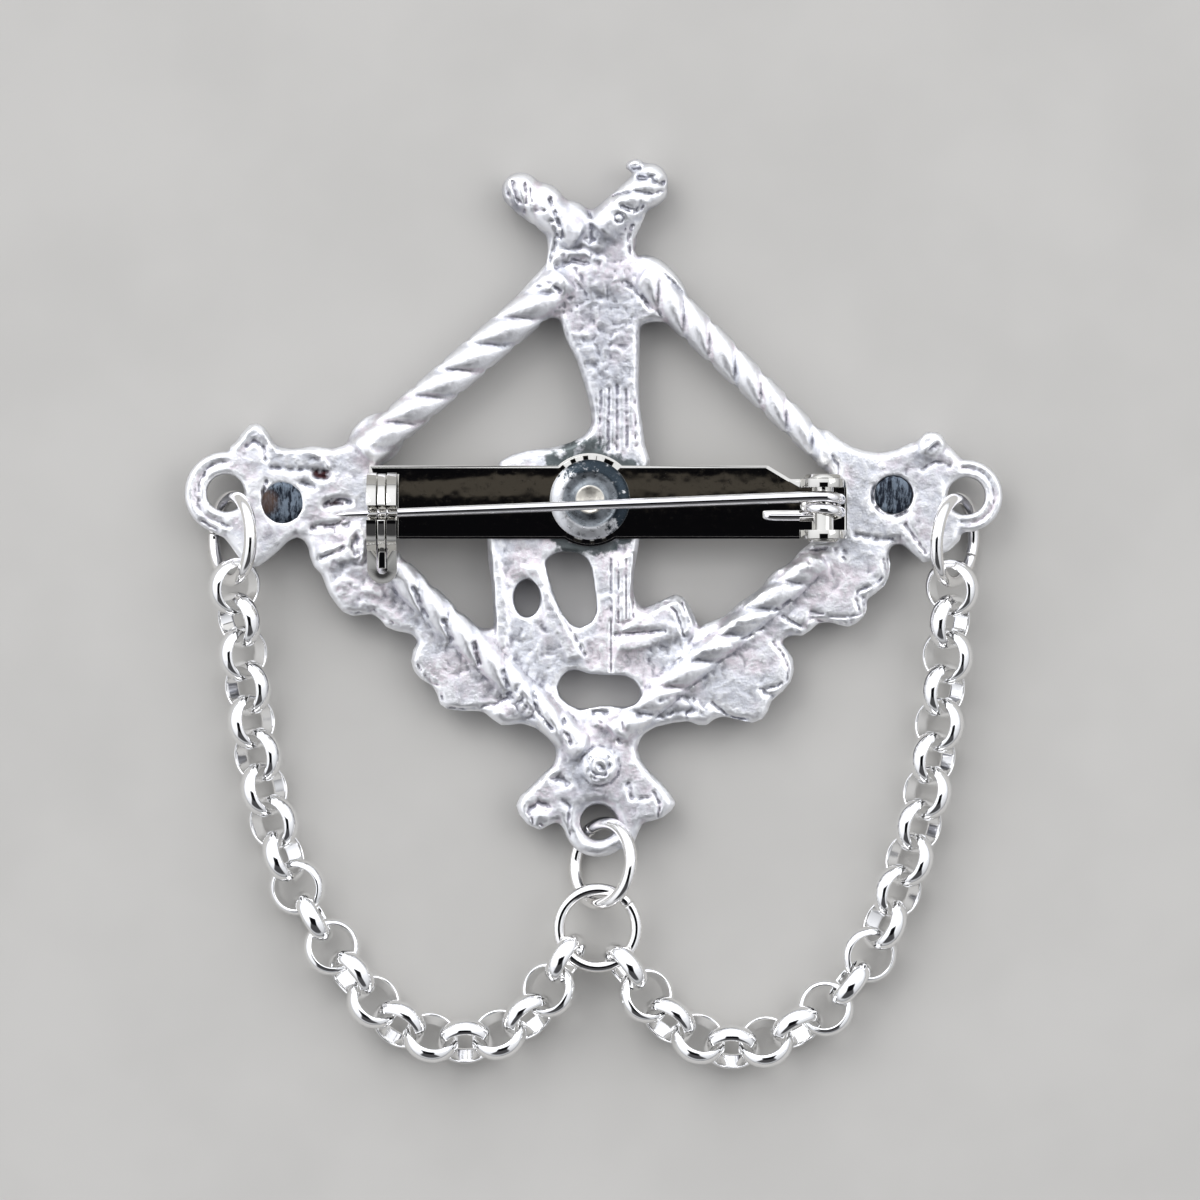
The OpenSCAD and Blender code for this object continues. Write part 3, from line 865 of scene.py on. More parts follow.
    def skin(self, co: np.ndarray, px: np.ndarray, py: np.ndarray, up: np.ndarray) -> np.ndarray:
        """Height of the crumpled skin, in mm.

        Args:
            co: points in metres.
            px: drawing units to the right.
            py: drawing units down.
            up: how far each point faces up.

        Returns:
            The height at each point.
        """
        crumpled = sum((zone.weight(px, py) for zone in self.zones), np.zeros(len(px)))
        flat = 1 - np.clip(sum((rope.surface(px, py)[1] for rope in self.ropes), np.zeros(len(px))), 0, 1)
        noise.seed_set(self.seed)
        out = np.zeros(len(co))
        for i in np.nonzero(up > 0.02)[0]:
            p = Vector(co[i])
            bend = noise.noise_vector(p * 900.0) * 0.00045
            p += bend
            fine = noise.noise(p * 2600.0) * 0.8 + 0.4 * noise.noise(p * 5200.0)
            wrinkle = noise.noise(Vector((p.x * 1900 + p.y * 700, p.y * 900 - p.x * 350, 3.0)))
            slow = noise.noise(p * 760.0) + 0.6 * noise.noise(p * 1500.0)
            out[i] = (self.swell + self.swell_off_ropes * flat[i]) * slow + self.grain * fine
            out[i] += crumpled[i] * (self.crumple * fine + self.wrinkle * wrinkle)
        return out

    def shade_marks(self, obj: bpy.types.Object) -> None:
        """Store how hollow, raised, rusty, darkened and steep each point is, for the finish's painted shade,
        painted highlight, rust and darker patches.

        Args:
            obj: the finished mesh.
        """
        co = coords(obj)
        links = self.neighbours(obj)
        normal = vertex_normals(obj)
        soft = co.copy()
        marks = np.zeros(len(co))
        full_depth = {2: 0.05 * MM, 13: 0.11 * MM}
        for step in range(14):
            soft = 0.3 * soft + 0.7 * self.relaxed(soft, links)
            if step in full_depth:
                marks += np.einsum("ij,ij->i", soft - co, normal) / full_depth[step]
        spread = {"rust": np.zeros(len(co)), "dull": np.zeros(len(co))}
        px, py = drawing(co)
        for name, strokes in (("rust", self.rust), ("dull", self.dull)):
            for stroke in strokes:
                spread[name] += stroke.depth * self.reach(px, py, stroke)
        # hollow carries painted shade and tarnish, crest painted highlight, side painted shade.
        spread.update(hollow=marks, crest=-marks, side=(0.5 - normal[:, 2]) / 0.4)
        for name, values in spread.items():
            made = obj.data.attributes.new(name, "FLOAT", "POINT")
            made.data.foreach_set("value", np.clip(values, 0, 1).astype(np.float32))


@dataclass
class SetPins:
    """The two plain pins whose rough ends show in the wings."""

    finish: SlateFinish = SlateFinish()

    def build(self) -> None:
        """Make both pins."""
        material = self.finish.material()
        for node, centre, radius, seed in (("left_rivet", spot(283, 503), 1.66 * MM, 3.0),
                                           ("right_rivet", spot(893, 495), 1.5 * MM, 8.0)):
            low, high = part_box(node)
            calm()
            bpy.ops.mesh.primitive_cylinder_add(vertices=56, radius=radius, depth=high.z - low.z,
                                                location=(centre.x, centre.y, (low.z + high.z) / 2))
            obj = started(node.replace("rivet", "set_pin"))
            edit(obj, "FACE")
            bpy.ops.mesh.select_all(action="DESELECT")
            done()
            for face in obj.data.polygons:
                face.select = face.normal.z > 0.9
            bpy.ops.object.mode_set(mode="EDIT")
            bpy.ops.mesh.inset(thickness=0.12 * MM)
            for _ in range(8):
                bpy.ops.mesh.inset(thickness=0.14 * MM)
            done()
            self.roughen(obj, centre, radius, high.z, seed)
            smooth(obj, 40)
            dress(obj, material, Body.BROOCH, Slot.SET_PIN, node)

    @staticmethod
    def roughen(obj: bpy.types.Object, centre: Vector, radius: float, top: float, seed: float) -> None:
        """Round the pin's outer edge, shake its outline and hammer its end.

        Args:
            obj: the pin.
            centre: its middle in plan.
            radius: its radius in metres.
            top: its highest level in metres.
            seed: shift of the pattern.
        """
        co = coords(obj)
        upper = co[:, 2] > top - 0.01 * MM
        far = np.hypot(co[:, 0] - centre.x, co[:, 1] - centre.y)
        co[upper, 2] -= 0.14 * MM * np.clip((far[upper] - 0.8 * radius) / (0.2 * radius), 0, 1) ** 2
        for i in np.nonzero(upper)[0]:
            p = Vector((co[i, 0] * 1500 + seed, co[i, 1] * 620, seed))
            if far[i] < 0.97 * radius:
                co[i, 2] += min(0.0, 0.16 * noise.noise(p) - 0.03) * MM
            angle = math.atan2(co[i, 1] - centre.y, co[i, 0] - centre.x)
            share = 1 - 0.1 * abs(noise.noise(Vector((2 * math.cos(angle), 2 * math.sin(angle), seed))))
            co[i, 0] = centre.x + (co[i, 0] - centre.x) * share
            co[i, 1] = centre.y + (co[i, 1] - centre.y) * share
        set_coords(obj, co)


@dataclass
class PinBar:
    """The flat bar with its hinge ears and catch housing, and the shaft and rivet that hold it."""

    edge: float = 0.035 * MM
    shank: float = 1.12 * MM
    seat: float = 3.93 * MM
    profile: tuple[tuple[float, float], ...] = (
        (0.985, 0.0), (1.0, 0.05), (1.0, 0.2), (0.985, 0.28), (0.94, 0.4), (0.86, 0.52), (0.76, 0.61),
        (0.69, 0.64), (0.655, 0.6), (0.62, 0.54), (0.5, 0.55), (0.42, 0.6), (0.37, 0.72), (0.335, 0.77),
        (0.29, 0.74), (0.23, 0.55), (0.15, 0.45), (0.06, 0.42), (0.0, 0.42))
    finish: MirrorFinish = MirrorFinish("bar_nickel", (0.62, 0.61, 0.58), (0.56, 0.55, 0.52), 0.012, 0.05,
                                        0.0012 * MM)
    head: RivetFinish = RivetFinish()

    def build(self) -> None:
        """Make the bar, the hinge shaft and the rivet."""
        material = self.finish.material()
        self.eased("pin_bar", "bar_strip", self.edge, material, Slot.BAR, Body.BROOCH)
        self.eased("hinge_rivet", "hinge_shaft", 0.06 * MM, material, Slot.BAR, Body.BROOCH)
        self.rivet()

    @staticmethod
    def eased(node: str, name: str, edge: float, material: bpy.types.Material, slot: Slot,
              body: Body) -> None:
        """Copy a solid, clear its flat faces of extra edges and round its corners.

        Args:
            node: the solid.
            name: the piece's name.
            edge: bevel width in metres.
            material: its finish.
            slot: its slot.
            body: its body.
        """
        obj = merged_copy(node, name)
        edit(obj)
        bpy.ops.mesh.dissolve_limited(angle_limit=math.radians(1.0))
        done()
        applied(obj, "BEVEL", width=edge, segments=3, limit_method="ANGLE", angle_limit=math.radians(32),
                use_clamp_overlap=True)
        edit(obj)
        bpy.ops.mesh.quads_convert_to_tris()
        done()
        smooth(obj, 30)
        applied(obj, "WEIGHTED_NORMAL", mode="FACE_AREA", weight=100, keep_sharp=True)
        dress(obj, material, body, slot, node)

    def rivet(self) -> None:
        """Spin the rivet head and its shank from one outline, in shares of the radius and mm of rise."""
        low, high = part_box("bar_rivet")
        middle = RIVET_MIDDLE
        r = (high.x - low.x) / 2
        outline = [(0.0, low.z), (self.shank, low.z), (self.shank, self.seat)]
        outline += [(share * r, self.seat + rise * MM) for share, rise in self.profile]
        mesh = bpy.data.meshes.new("rivet_head")
        mesh.from_pydata([(middle.x + x, middle.y, z) for x, z in outline],
                         [(i, i + 1) for i in range(len(outline) - 1)], [])
        obj = bpy.data.objects.new("rivet_head", mesh)
        bpy.context.scene.collection.objects.link(obj)
        edit(obj)
        bpy.ops.mesh.spin(steps=96, angle=math.tau, center=(middle.x, middle.y, 0), axis=(0, 0, 1))
        done()
        outward(obj)
        co = coords(obj)
        top = co[:, 2] > self.seat + 0.1 * MM
        for i in np.nonzero(top)[0]:
            p = Vector(co[i])
            co[i, 2] += 0.035 * MM * min(0.0, noise.noise(p * 1300.0) + 0.4 * noise.noise(p * 3100.0))
        set_coords(obj, co)
        smooth(obj, 50)
        dress(obj, self.head.material(), Body.BROOCH, Slot.RIVET, "bar_rivet")


@dataclass
class Catch:
    """The turning disc of the safety catch."""

    finish: MirrorFinish = MirrorFinish("catch_nickel", (0.78, 0.77, 0.74), (0.60, 0.59, 0.56), 0.04, 0.14)

    def build(self) -> None:
        """Make the disc."""
        PinBar.eased("catch_rotor", "catch_disc", 0.08 * MM, self.finish.material(), Slot.CATCH, Body.ROTOR)


@dataclass
class PinWire:
    """The pointed pin with its coil."""

    finish: MirrorFinish = MirrorFinish("pin_steel", (0.88, 0.87, 0.88), (0.74, 0.73, 0.74), 0.03, 0.09,
                                        0.002 * MM, 300.0)

    def build(self) -> None:
        """Make the pin."""
        obj = merged_copy("pin_stem", "pin_wire")
        edit(obj)
        bpy.ops.mesh.tris_convert_to_quads()
        done()
        applied(obj, "SUBSURF", levels=2, render_levels=2)
        smooth(obj)
        dress(obj, self.finish.material(), Body.PIN, Slot.PIN, "pin_stem")


def shell_pose(co: np.ndarray) -> tuple[np.ndarray, np.ndarray]:
    """Where a round ring lies, from its points.

    Args:
        co: its points.

    Returns:
        Its centre, and a matrix whose columns are two directions across it and its axis.
    """
    _, vectors = np.linalg.eigh(np.cov((co - co.mean(0)).T))
    axis = vectors[:, 0] * (1 if vectors[2, 0] >= 0 else -1)
    across = np.cross([0.0, 0.0, 1.0] if abs(axis[2]) < 0.9 else [1.0, 0.0, 0.0], axis)
    across /= np.linalg.norm(across)
    turn = np.stack([across, np.cross(axis, across), axis], 1)
    local = co @ turn
    return turn @ ((local.min(0) + local.max(0)) / 2), turn


def pose_matrix(centre: np.ndarray, turn: np.ndarray) -> Matrix:
    """A 4x4 matrix from a centre and three columns."""
    made = Matrix.Identity(4)
    for i in range(3):
        for j in range(3):
            made[i][j] = float(turn[i, j])
        made[i][3] = float(centre[i])
    return made


@dataclass
class Rings:
    """The four bent wire rings, each with its cut."""

    cut_degrees: float = 1.2
    finish: MirrorFinish = MirrorFinish("ring_silver", (0.93, 0.92, 0.91), (0.74, 0.73, 0.74), 0.07, 0.2,
                                        0.012 * MM, 380.0)

    def build(self) -> None:
        """Make the four rings."""
        material = self.finish.material()
        sizes = {"left_lug_ring": (7.7, 1.04, 262), "right_lug_ring": (7.7, 1.04, 250),
                 "upper_drop_ring": (7.5, 1.04, 215), "lower_drop_ring": (7.2, 0.98, 128)}
        for node, (outer, wire, cut_at) in sizes.items():
            centre, turn = shell_pose(coords(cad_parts[node]))
            obj = self.ring(node.replace("ring", "loop"), outer * MM, wire * MM, cut_at)
            obj.data.transform(pose_matrix(centre, turn))
            obj.data.update()
            dress(obj, material, Body.BROOCH, Slot.RING, node)

    def ring(self, name: str, outer: float, wire: float, cut_at: float) -> bpy.types.Object:
        """Spin one ring about Z, with a narrow cut.

        Args:
            name: the piece's name.
            outer: outer diameter.
            wire: wire diameter.
            cut_at: degrees round the ring of the cut.

        Returns:
            The ring at the origin.
        """
        radius = (outer - wire) / 2
        start = math.radians(cut_at)
        calm()
        bpy.ops.mesh.primitive_circle_add(vertices=28, radius=wire / 2, fill_type="NGON",
                                          location=(radius, 0, 0), rotation=(math.pi / 2, 0, 0))
        obj = started(name)
        obj.data.transform(Matrix.Rotation(start, 4, "Z"))
        edit(obj, "FACE")
        bpy.ops.mesh.spin(steps=88, angle=math.radians(360 - self.cut_degrees), center=(0, 0, 0),
                          axis=(0, 0, 1))
        done()
        outward(obj)
        applied(obj, "BEVEL", width=0.05 * MM, segments=2, limit_method="ANGLE",
                angle_limit=math.radians(50))
        smooth(obj, 60)
        return obj


@dataclass
class Chains:
    """The two rolled-link chains, every link a copy of one pattern link."""

    diameter: float = 4.6 * MM
    thick: float = 0.58 * MM
    wide: float = 1.5 * MM
    finish: MirrorFinish = MirrorFinish("chain_silver", (0.96, 0.96, 0.96), (0.84, 0.84, 0.86), 0.07, 0.17,
                                        0.008 * MM, 500.0)

    def build(self) -> None:
        """Make both chains."""
        material = self.finish.material()
        pattern = self.link()
        for node in ("chain_left", "chain_right"):
            links = []
            for centre, turn in self.poses(node):
                take(pattern)
                bpy.ops.object.duplicate()
                one = bpy.context.object
                one.data.transform(pose_matrix(centre, turn))
                links.append(one)
            obj = joined(links, node.replace("chain_", "link_chain_"))
            smooth(obj, 70)
            dress(obj, material, Body.BROOCH, Slot.CHAIN, node)
        bpy.data.objects.remove(pattern)

    def link(self) -> bpy.types.Object:
        """Spin the pattern link: flat inside, full and rounded outside.

        Returns:
            The link about Z at the origin.
        """
        inner = self.diameter / 2 - self.thick
        half = self.wide / 2
        arc = [(0.06 + 0.94 * math.cos(t), math.sin(t)) for t in np.linspace(-1.46, 1.46, 21)]
        outline = [(0.0, 0.0), (0.0, 0.6), (0.0, 0.88), (0.04, 0.96)]
        outline += [(x, z) for x, z in reversed(arc)]
        outline += [(0.04, -0.96), (0.0, -0.88), (0.0, -0.6)]
        mesh = bpy.data.meshes.new("pattern_link")
        count = len(outline)
        mesh.from_pydata([(inner + x * self.thick, 0, z * half) for x, z in outline],
                         [(i, (i + 1) % count) for i in range(count)], [])
        obj = bpy.data.objects.new("pattern_link", mesh)
        bpy.context.scene.collection.objects.link(obj)
        edit(obj)
        bpy.ops.mesh.spin(steps=52, angle=math.tau, center=(0, 0, 0), axis=(0, 0, 1))
        done()
        outward(obj)
        return obj

    @staticmethod
    def poses(node: str) -> list[tuple[np.ndarray, np.ndarray]]:
        """Where each link of a chain lies.

        Args:
            node: the chain's solid.

        Returns:
            A centre and a turn for each link.
        """
        whole = merged_copy(node, "chain_guide")
        edit(whole)
        bpy.ops.mesh.separate(type="LOOSE")
        done()
        parts = list(bpy.context.selected_objects)
        out = [shell_pose(coords(part)) for part in parts]
        for part in parts:
            bpy.data.objects.remove(part)
        log.info("%s has %d links", node, len(out))
        return out


@dataclass
class Studio:
    """Camera, floor, sky and lamps."""

    height: float = 0.6
    view_width: float = 96 * MM
    middle_x: float = 0.24 * MM
    middle_y: float = -8 * MM
    floor_level: float = -0.02 * MM
    pale: tuple[float, float, float] = (0.485, 0.474, 0.452)
    paler: tuple[float, float, float] = (0.515, 0.503, 0.48)
    sky_tint: tuple[float, float, float] = (0.975, 0.99, 1.03)
    sky_levels: tuple[tuple[float, float], ...] = (
        (0.0, 0.2), (0.47, 0.2), (0.5, 0.3), (0.55, 0.72), (0.66, 1.08), (0.8, 1.17), (1.0, 1.24))

    def build(self) -> None:
        """Set up the studio."""
        self.camera()
        self.floor()
        self.sky()
        self.lamp("key", (-0.3, 0.42, 0.5), 0.4, 1.3)
        self.lamp("fill", (0.42, 0.16, 0.45), 0.34, 0.5)
        bpy.context.scene.view_settings.view_transform = "Standard"

    def camera(self) -> None:
        """Put the camera straight above, as the photograph was taken."""
        calm()
        bpy.ops.object.camera_add(location=(self.middle_x, self.middle_y, self.height), rotation=(0, 0, 0))
        camera = bpy.context.object
        camera.data.sensor_width = 36
        camera.data.lens = 36 * (self.height - 2 * MM) / self.view_width
        camera.data.clip_start = 0.01
        camera.data.clip_end = 20
        bpy.context.scene.camera = camera

    def floor(self) -> None:
        """Lay a pale matte floor under the brooch."""
        calm()
        bpy.ops.mesh.primitive_plane_add(size=4, location=(0, 0, self.floor_level))
        obj = started("floor")
        paint = Paint("floor_matte")
        tone = paint.mix(paint.span(paint.noise(60, 3), 0.3, 0.7), self.pale, self.paler)
        obj.data.materials.append(paint.finish(tone, 0.9, None, 0.0))

    def lamp(self, name: str, at: tuple[float, float, float], size: float, power: float) -> None:
        """Add a soft lamp that looks at the brooch.

        Args:
            name: its name.
            at: its place in metres.
            size: its side in metres.
            power: its watts.
        """
        calm()
        aim = (Vector((0, self.middle_y, 0)) - Vector(at)).to_track_quat("-Z", "Y").to_euler()
        bpy.ops.object.light_add(type="AREA", location=at, rotation=aim)
        lamp = bpy.context.object
        lamp.name = name
        lamp.data.size = size
        lamp.data.energy = power

    def sky(self) -> None:
        """A soft bright sky, with a dark patch overhead and a strip in it that lights the bar."""
        world = bpy.context.scene.world or bpy.data.worlds.new("sky")
        bpy.context.scene.world = world
        world.use_nodes = True
        tree = Tree(world.node_tree)
        split = tree.node("ShaderNodeSeparateXYZ")
        tree.feed(split.inputs[0], tree.node("ShaderNodeTexCoord").outputs["Generated"])
        x, y, z = split.outputs
        level = tree.math("MULTIPLY_ADD", z, 0.5, 0.5)
        stops = [(at, tuple(value * tint for tint in self.sky_tint)) for at, value in self.sky_levels]
        bright = tree.ramp(level, *stops)
        slant = tree.math("ADD", tree.math("MULTIPLY", y, 0.42), tree.math("MULTIPLY", x, -0.16))
        turned = tree.node("ShaderNodeVectorMath", operation="SCALE")
        tree.feed(turned.inputs[0], bright)
        tree.feed(turned.inputs["Scale"], tree.math("ADD", slant, 1.0))
        side = tree.math("ADD", tree.math("ABSOLUTE", x), tree.math("MULTIPLY", y, 0.6))
        leaning = tree.math("MULTIPLY", tree.span(y, -0.04, -0.2), tree.span(side, 0.16, 0.0))
        leaning = tree.math("MULTIPLY", leaning, tree.span(z, 0.2, 0.4))
        open_sky = tree.mix(leaning, turned.outputs[0], (0.07, 0.07, 0.075))
        high_z = tree.math("MAXIMUM", z, 0.05)
        u = tree.math("DIVIDE", x, high_z)
        v = tree.math("DIVIDE", y, high_z)
        strip = tree.math("MULTIPLY", tree.span(v, 0.0136, 0.0146), tree.span(v, 0.0173, 0.0165))
        shade = tree.mix(strip, (0.004, 0.004, 0.005), (0.085, 0.075, 0.062))
        dark = tree.math("MULTIPLY", tree.span(v, 0.05, 0.025), tree.span(v, -0.68, -0.54))
        width = tree.math("MULTIPLY", tree.span(u, -0.44, -0.34), tree.span(u, 0.44, 0.34))
        dark = tree.math("MULTIPLY", dark, width)
        dark = tree.math("MULTIPLY", dark, tree.span(z, 0.5, 0.6))
        back = world.node_tree.nodes["Background"]
        tree.feed(back.inputs["Color"], tree.mix(dark, open_sky, shade))
        back.inputs["Strength"].default_value = 1.0


def bow(x: float, y: float, r: float, start: float = 0, end: float = 360) -> tuple[tuple[float, float], ...]:
    """Points along a circle of the drawing.

    Args:
        x: its middle to the right.
        y: its middle down.
        r: its radius.
        start: first angle in degrees, clockwise from the right.
        end: last angle.

    Returns:
        The points.
    """
    return tuple((x + r * math.cos(math.radians(a)), y + r * math.sin(math.radians(a)))
                 for a in np.linspace(start, end, 13))


ROPES = (
    Rope((560, 284), (369, 449), (1.58, 1.5), 2.38, 39.9, 14.0),
    Rope((648, 281), (826, 454), (1.5, 1.14), 2.38, 35.7, 14.2),
    Rope((390, 566), (571, 737), (1.33, 1.33), 2.65, 39.1, 2.5),
    Rope((620, 728), (814, 564), (1.31, 1.2), 2.65, 40.1, 23.7),
)

LUMPS = (
    Lump((521, 191, 2.0), (1.55, 1.5, 1.8)),
    Lump((543, 203, 2.05), (1.75, 1.6, 1.75), -30),
    Lump((572, 222, 2.1), (2.0, 1.6, 1.55), -40),
    Lump((650, 182, 2.1), (1.45, 1.5, 1.75)),
    Lump((634, 165, 2.2), (0.7, 0.42, 1.2), 20),
    Lump((640, 199, 2.0), (2.3, 1.05, 1.7), 16),
    Lump((613, 222, 1.7), (2.3, 1.7, 1.5), 20),
    Lump((596, 240, 1.7), (3.3, 2.2, 1.6)),
    Lump((600, 278, 1.7), (4.0, 2.6, 1.6)),
    Lump((550, 290, 2.1), (2.7, 1.5, 1.6), 38),
    Lump((661, 285, 2.1), (2.9, 1.5, 1.65), -50),
    Lump((376, 440, 1.9), (2.5, 2.0, 1.0), 40),
    Lump((830, 456, 2.2), (2.2, 1.2, 0.9), -44),
    Lump((501, 713, 2.7), (0.8, 0.42, 0.55)),
)

WIDEN = 1.25
SOFTEN = 0.8

STROKES = tuple(Stroke(path, WIDEN * width, SOFTEN * depth) for path, width, depth in (
    # Left horn
    (((525, 185), (527, 204)), 2.6, 0.3),
    (((513, 183), (517, 198), (524, 212)), 3.4, 0.28),
    (((507, 190), (512, 206)), 2.6, 0.2),
    (((530, 190), (532, 203)), 1.8, 0.14),
    (((536, 211), (545, 212)), 2.2, 0.2),
    (((550, 200), (556, 216), (563, 238)), 3.2, 0.36),
    (((552, 222), (560, 240)), 2.4, 0.2),
    # Head and right horn
    (((587, 209), (592, 222), (591, 238)), 3.0, 0.2),
    (((586, 240), (590, 243), (594, 240)), 3.0, 0.2),
    (((640, 178), (650, 180), (662, 183)), 5.4, 0.5),
    (((613, 196), (634, 192), (650, 195), (667, 190)), 2.2, 0.26),
    (((622, 208), (634, 212), (642, 208)), 3.4, 0.4),
    (((610, 203), (628, 199), (646, 203)), 4.6, -0.1),
    (((626, 168), (640, 169)), 2.4, 0.24),
    (bow(619, 219, 4.5), 1.8, 0.2),
    (((557, 236), (555, 246), (550, 262)), 2.6, 0.26),
    (((632, 226), (628, 240), (630, 254)), 2.6, 0.2),
    # Neck
    (((548, 264), (562, 255), (584, 254), (602, 262)), 5.0, -0.14),
    (((556, 268), (572, 262), (588, 264)), 3.0, 0.24),
    (((538, 287), (549, 284), (560, 291)), 4.5, 0.22),
    (((624, 283), (636, 290), (650, 308)), 4.0, 0.2),
    (((573, 260), (583, 262)), 4.0, 0.14),
    # Ribs of the stem
    (((601, 392), (599, 448)), 2.6, 0.12),
    (((609, 388), (608, 450)), 2.6, 0.14),
    (((617, 386), (617, 450)), 2.6, 0.12),
    (((626, 390), (627, 448)), 2.6, 0.13),
    (((634, 392), (636, 446)), 2.6, 0.1),
    # Slits beside the lower left rope
    (((414, 588), (420, 602), (427, 616)), 3.6, 0.26),
    (((443, 620), (447, 629), (452, 639)), 3.6, 0.24),
    (((474, 644), (477, 654), (480, 663)), 3.2, 0.34),
    (((503, 672), (507, 682), (511, 692)), 3.4, 0.24),
    (((534, 693), (537, 706), (541, 716), (552, 728)), 3.0, 0.34),
    (((564, 720), (567, 732), (571, 743)), 3.0, 0.34),
    # Left border
    (((418, 664), (422, 672), (432, 681), (440, 686), (443, 700), (450, 707), (467, 709), (484, 706),
      (497, 704), (506, 698)), 2.4, 0.16),
    (((412, 668), (420, 680), (434, 691), (440, 706)), 4.0, 0.12),
    (((508, 694), (520, 700), (531, 714)), 9.0, 0.3),
    (((497, 700), (511, 694), (520, 686)), 4.0, 0.12),
    (((324, 598), (340, 612), (358, 612), (374, 609), (384, 618), (398, 625)), 2.4, 0.1),
    (((330, 566), (340, 590), (366, 604)), 9.0, -0.06),
    # Right border
    (((883, 559), (886, 573), (876, 584), (858, 591), (856, 599), (860, 614), (850, 617), (833, 617),
      (810, 612), (808, 621), (800, 626), (783, 617)), 2.4, 0.18),
    (((888, 560), (890, 576), (879, 590)), 3.4, 0.14),
    (((862, 598), (865, 612)), 4.0, 0.14),
    (((812, 618), (830, 623), (850, 622)), 3.6, 0.14),
    (((798, 630), (806, 627)), 4.0, 0.12),
    (((773, 642), (783, 655), (788, 669), (786, 680), (776, 687), (760, 689)), 2.2, 0.16),
    (((712, 703), (725, 713), (735, 718), (748, 719)), 2.6, 0.3),
    (((764, 692), (774, 696)), 5.0, 0.16),
    (((640, 716), (665, 716), (690, 712)), 6.0, 0.18),
    (((660, 700), (676, 696), (692, 700)), 5.0, 0.12),
    (((692, 700), (700, 708), (702, 716)), 3.6, -0.16),
    # Strands over the right border
    (((745, 604), (760, 594), (786, 585)), 4.6, -0.14),
    (((722, 632), (736, 620), (764, 616)), 4.6, -0.14),
    (((690, 658), (706, 648), (730, 648)), 4.6, -0.12),
    (((772, 573), (790, 566), (806, 566)), 4.4, -0.14),
    (((774, 610), (790, 600)), 2.6, 0.16),
    (((741, 640), (762, 628)), 2.6, 0.16),
    # Ribs and grooves of the panel
    (((611, 560), (611, 672)), 2.0, 0.14),
    (((616, 635), (664, 631)), 3.0, 0.2),
    (((618, 562), (618, 622)), 2.0, 0.1),
    (((626, 560), (626, 618)), 2.0, 0.1),
    (((634, 562), (633, 616)), 2.0, 0.08),
    (((665, 602), (676, 612), (684, 636)), 2.4, 0.14),
    (((682, 603), (689, 622)), 2.0, 0.14),
    (((560, 610), (576, 640), (585, 655)), 2.4, 0.16),
    (((545, 590), (556, 612), (572, 640)), 2.2, -0.08),
    # Left wing
    (((238, 446), (248, 433), (257, 425), (266, 436), (274, 448)), 3.4, -0.14),
    (((248, 446), (254, 441), (259, 444)), 4.0, 0.16),
    (((264, 447), (266, 460)), 3.0, 0.24),
    (((272, 468), (289, 470), (312, 470)), 4.0, 0.12),
    (((280, 452), (305, 450), (322, 458), (328, 466)), 3.6, -0.1),
    (((302, 484), (314, 487)), 5.0, 0.18),
    (((267, 482), (264, 492), (265, 504)), 2.8, 0.4),
    (((318, 474), (325, 475)), 7.0, 0.42),
    (((326, 505), (336, 501), (349, 502)), 5.0, 0.4),
    (((314, 528), (330, 526), (347, 524)), 4.6, 0.26),
    (((333, 526), (336, 531)), 3.0, 0.14),
    (((322, 558), (334, 554), (344, 548)), 3.4, 0.24),
    (((356, 538), (354, 547), (358, 556)), 4.4, 0.3),
    (((348, 536), (357, 526), (365, 538), (366, 552), (361, 560)), 4.4, -0.13),
    (((345, 582), (360, 590), (378, 592)), 7.0, -0.08),
    (((202, 520), (210, 526), (219, 530)), 3.0, 0.2),
    (((223, 524), (230, 527)), 2.6, 0.18),
    (((206, 474), (200, 486), (200, 500)), 2.6, 0.14),
    # Right wing
    (((921, 452), (936, 440), (948, 446)), 3.0, -0.14),
    (((922, 470), (935, 462), (950, 466)), 3.0, 0.1),
    (((906, 470), (909, 500), (906, 520)), 3.0, 0.08),
    (bow(893, 495, 20.5, 55, 205), 3.0, 0.34),
    (((905, 525), (925, 553)), 3.4, 0.16),
    (((800, 553), (826, 548), (845, 552)), 5.0, 0.1),
    (((855, 535), (880, 540), (900, 538)), 4.0, 0.14),
    (((832, 456), (838, 466), (838, 474)), 2.6, 0.26),
    (((843, 558), (844, 559)), 1.8, 0.5),
    # Foot and its nub
    (((552, 780), (560, 777), (567, 783)), 5.0, 0.26),
    (((531, 808), (538, 803), (547, 806)), 5.5, 0.24),
    (((528, 812), (534, 822), (543, 824)), 3.0, 0.2),
    (((538, 815), (546, 816)), 4.5, -0.14),
    (((628, 785), (632, 797)), 4.2, 0.26),
    (((640, 798), (652, 797)), 2.4, 0.14),
    (((654, 792), (660, 804), (658, 816)), 2.4, 0.2),
    (((619, 740), (620, 741)), 4.6, 0.22),
    (((622, 723), (623, 728)), 3.6, 0.14),
    (((594, 778), (600, 780), (606, 777)), 2.6, 0.16),
    (((562, 800), (570, 806), (568, 820), (572, 836)), 3.0, 0.14),
    (((588, 712), (606, 712)), 5.0, 0.16),
    (((598, 722), (604, 722)), 5.0, -0.12),
    (bow(600, 766, 20), 2.2, 0.06),
    (bow(600, 766, 12), 5.0, -0.16),
    (((600, 767), (603, 768)), 4.0, 0.34),
    (bow(600, 766, 8.5, 110, 240), 3.0, 0.12),
))

RUST = tuple(Stroke(*row) for row in (
    (((317, 474), (326, 475)), 8.0, 1.2),
    (((328, 504), (342, 503)), 5.0, 0.55),
    (((337, 502), (341, 504)), 3.6, 0.4),
))

# Patches painted darker grey over the stem, neck, horn tip, foot and right wing.
DARKER_PATCHES = tuple(Stroke(*row) for row in (
    (((598, 240), (600, 300), (606, 420)), 60.0, 0.42),
    (((508, 196), (520, 214)), 14.0, 0.6),
    (((575, 790), (625, 820)), 60.0, 0.34),
    (((905, 458), (930, 470)), 30.0, 0.25),
))


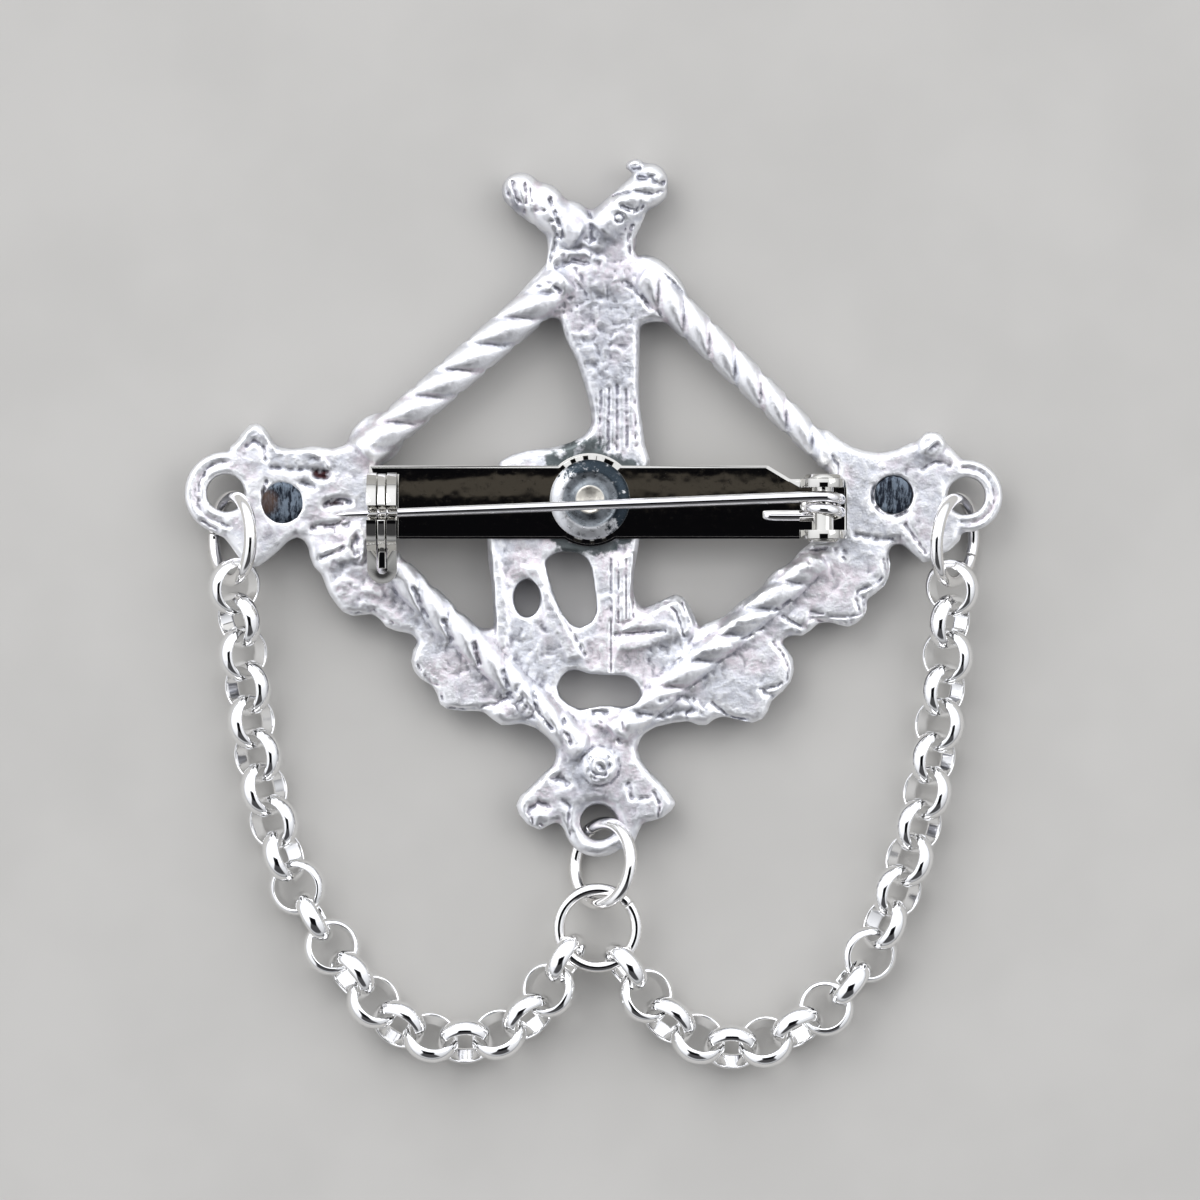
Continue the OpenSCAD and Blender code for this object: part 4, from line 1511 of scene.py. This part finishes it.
CRUMPLED = (
    Zone((548, 652, 14), (252, 390, 18)),
    Zone((488, 700, 12), (545, 690, 16), 0.45),
    Zone((436, 500, 14), (640, 688, 12), 0.7),
)


def main() -> None:
    """Build the brooch piece by piece, then the studio."""
    logging.basicConfig(level=logging.INFO, format="%(name)s: %(message)s")
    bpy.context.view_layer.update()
    Casting(lumps=LUMPS, ropes=ROPES, strokes=STROKES, rust=RUST, dull=DARKER_PATCHES, zones=CRUMPLED).build()
    SetPins().build()
    PinBar().build()
    Catch().build()
    PinWire().build()
    Rings().build()
    Chains().build()
    Studio().build()


if __name__ == "__main__":
    main()
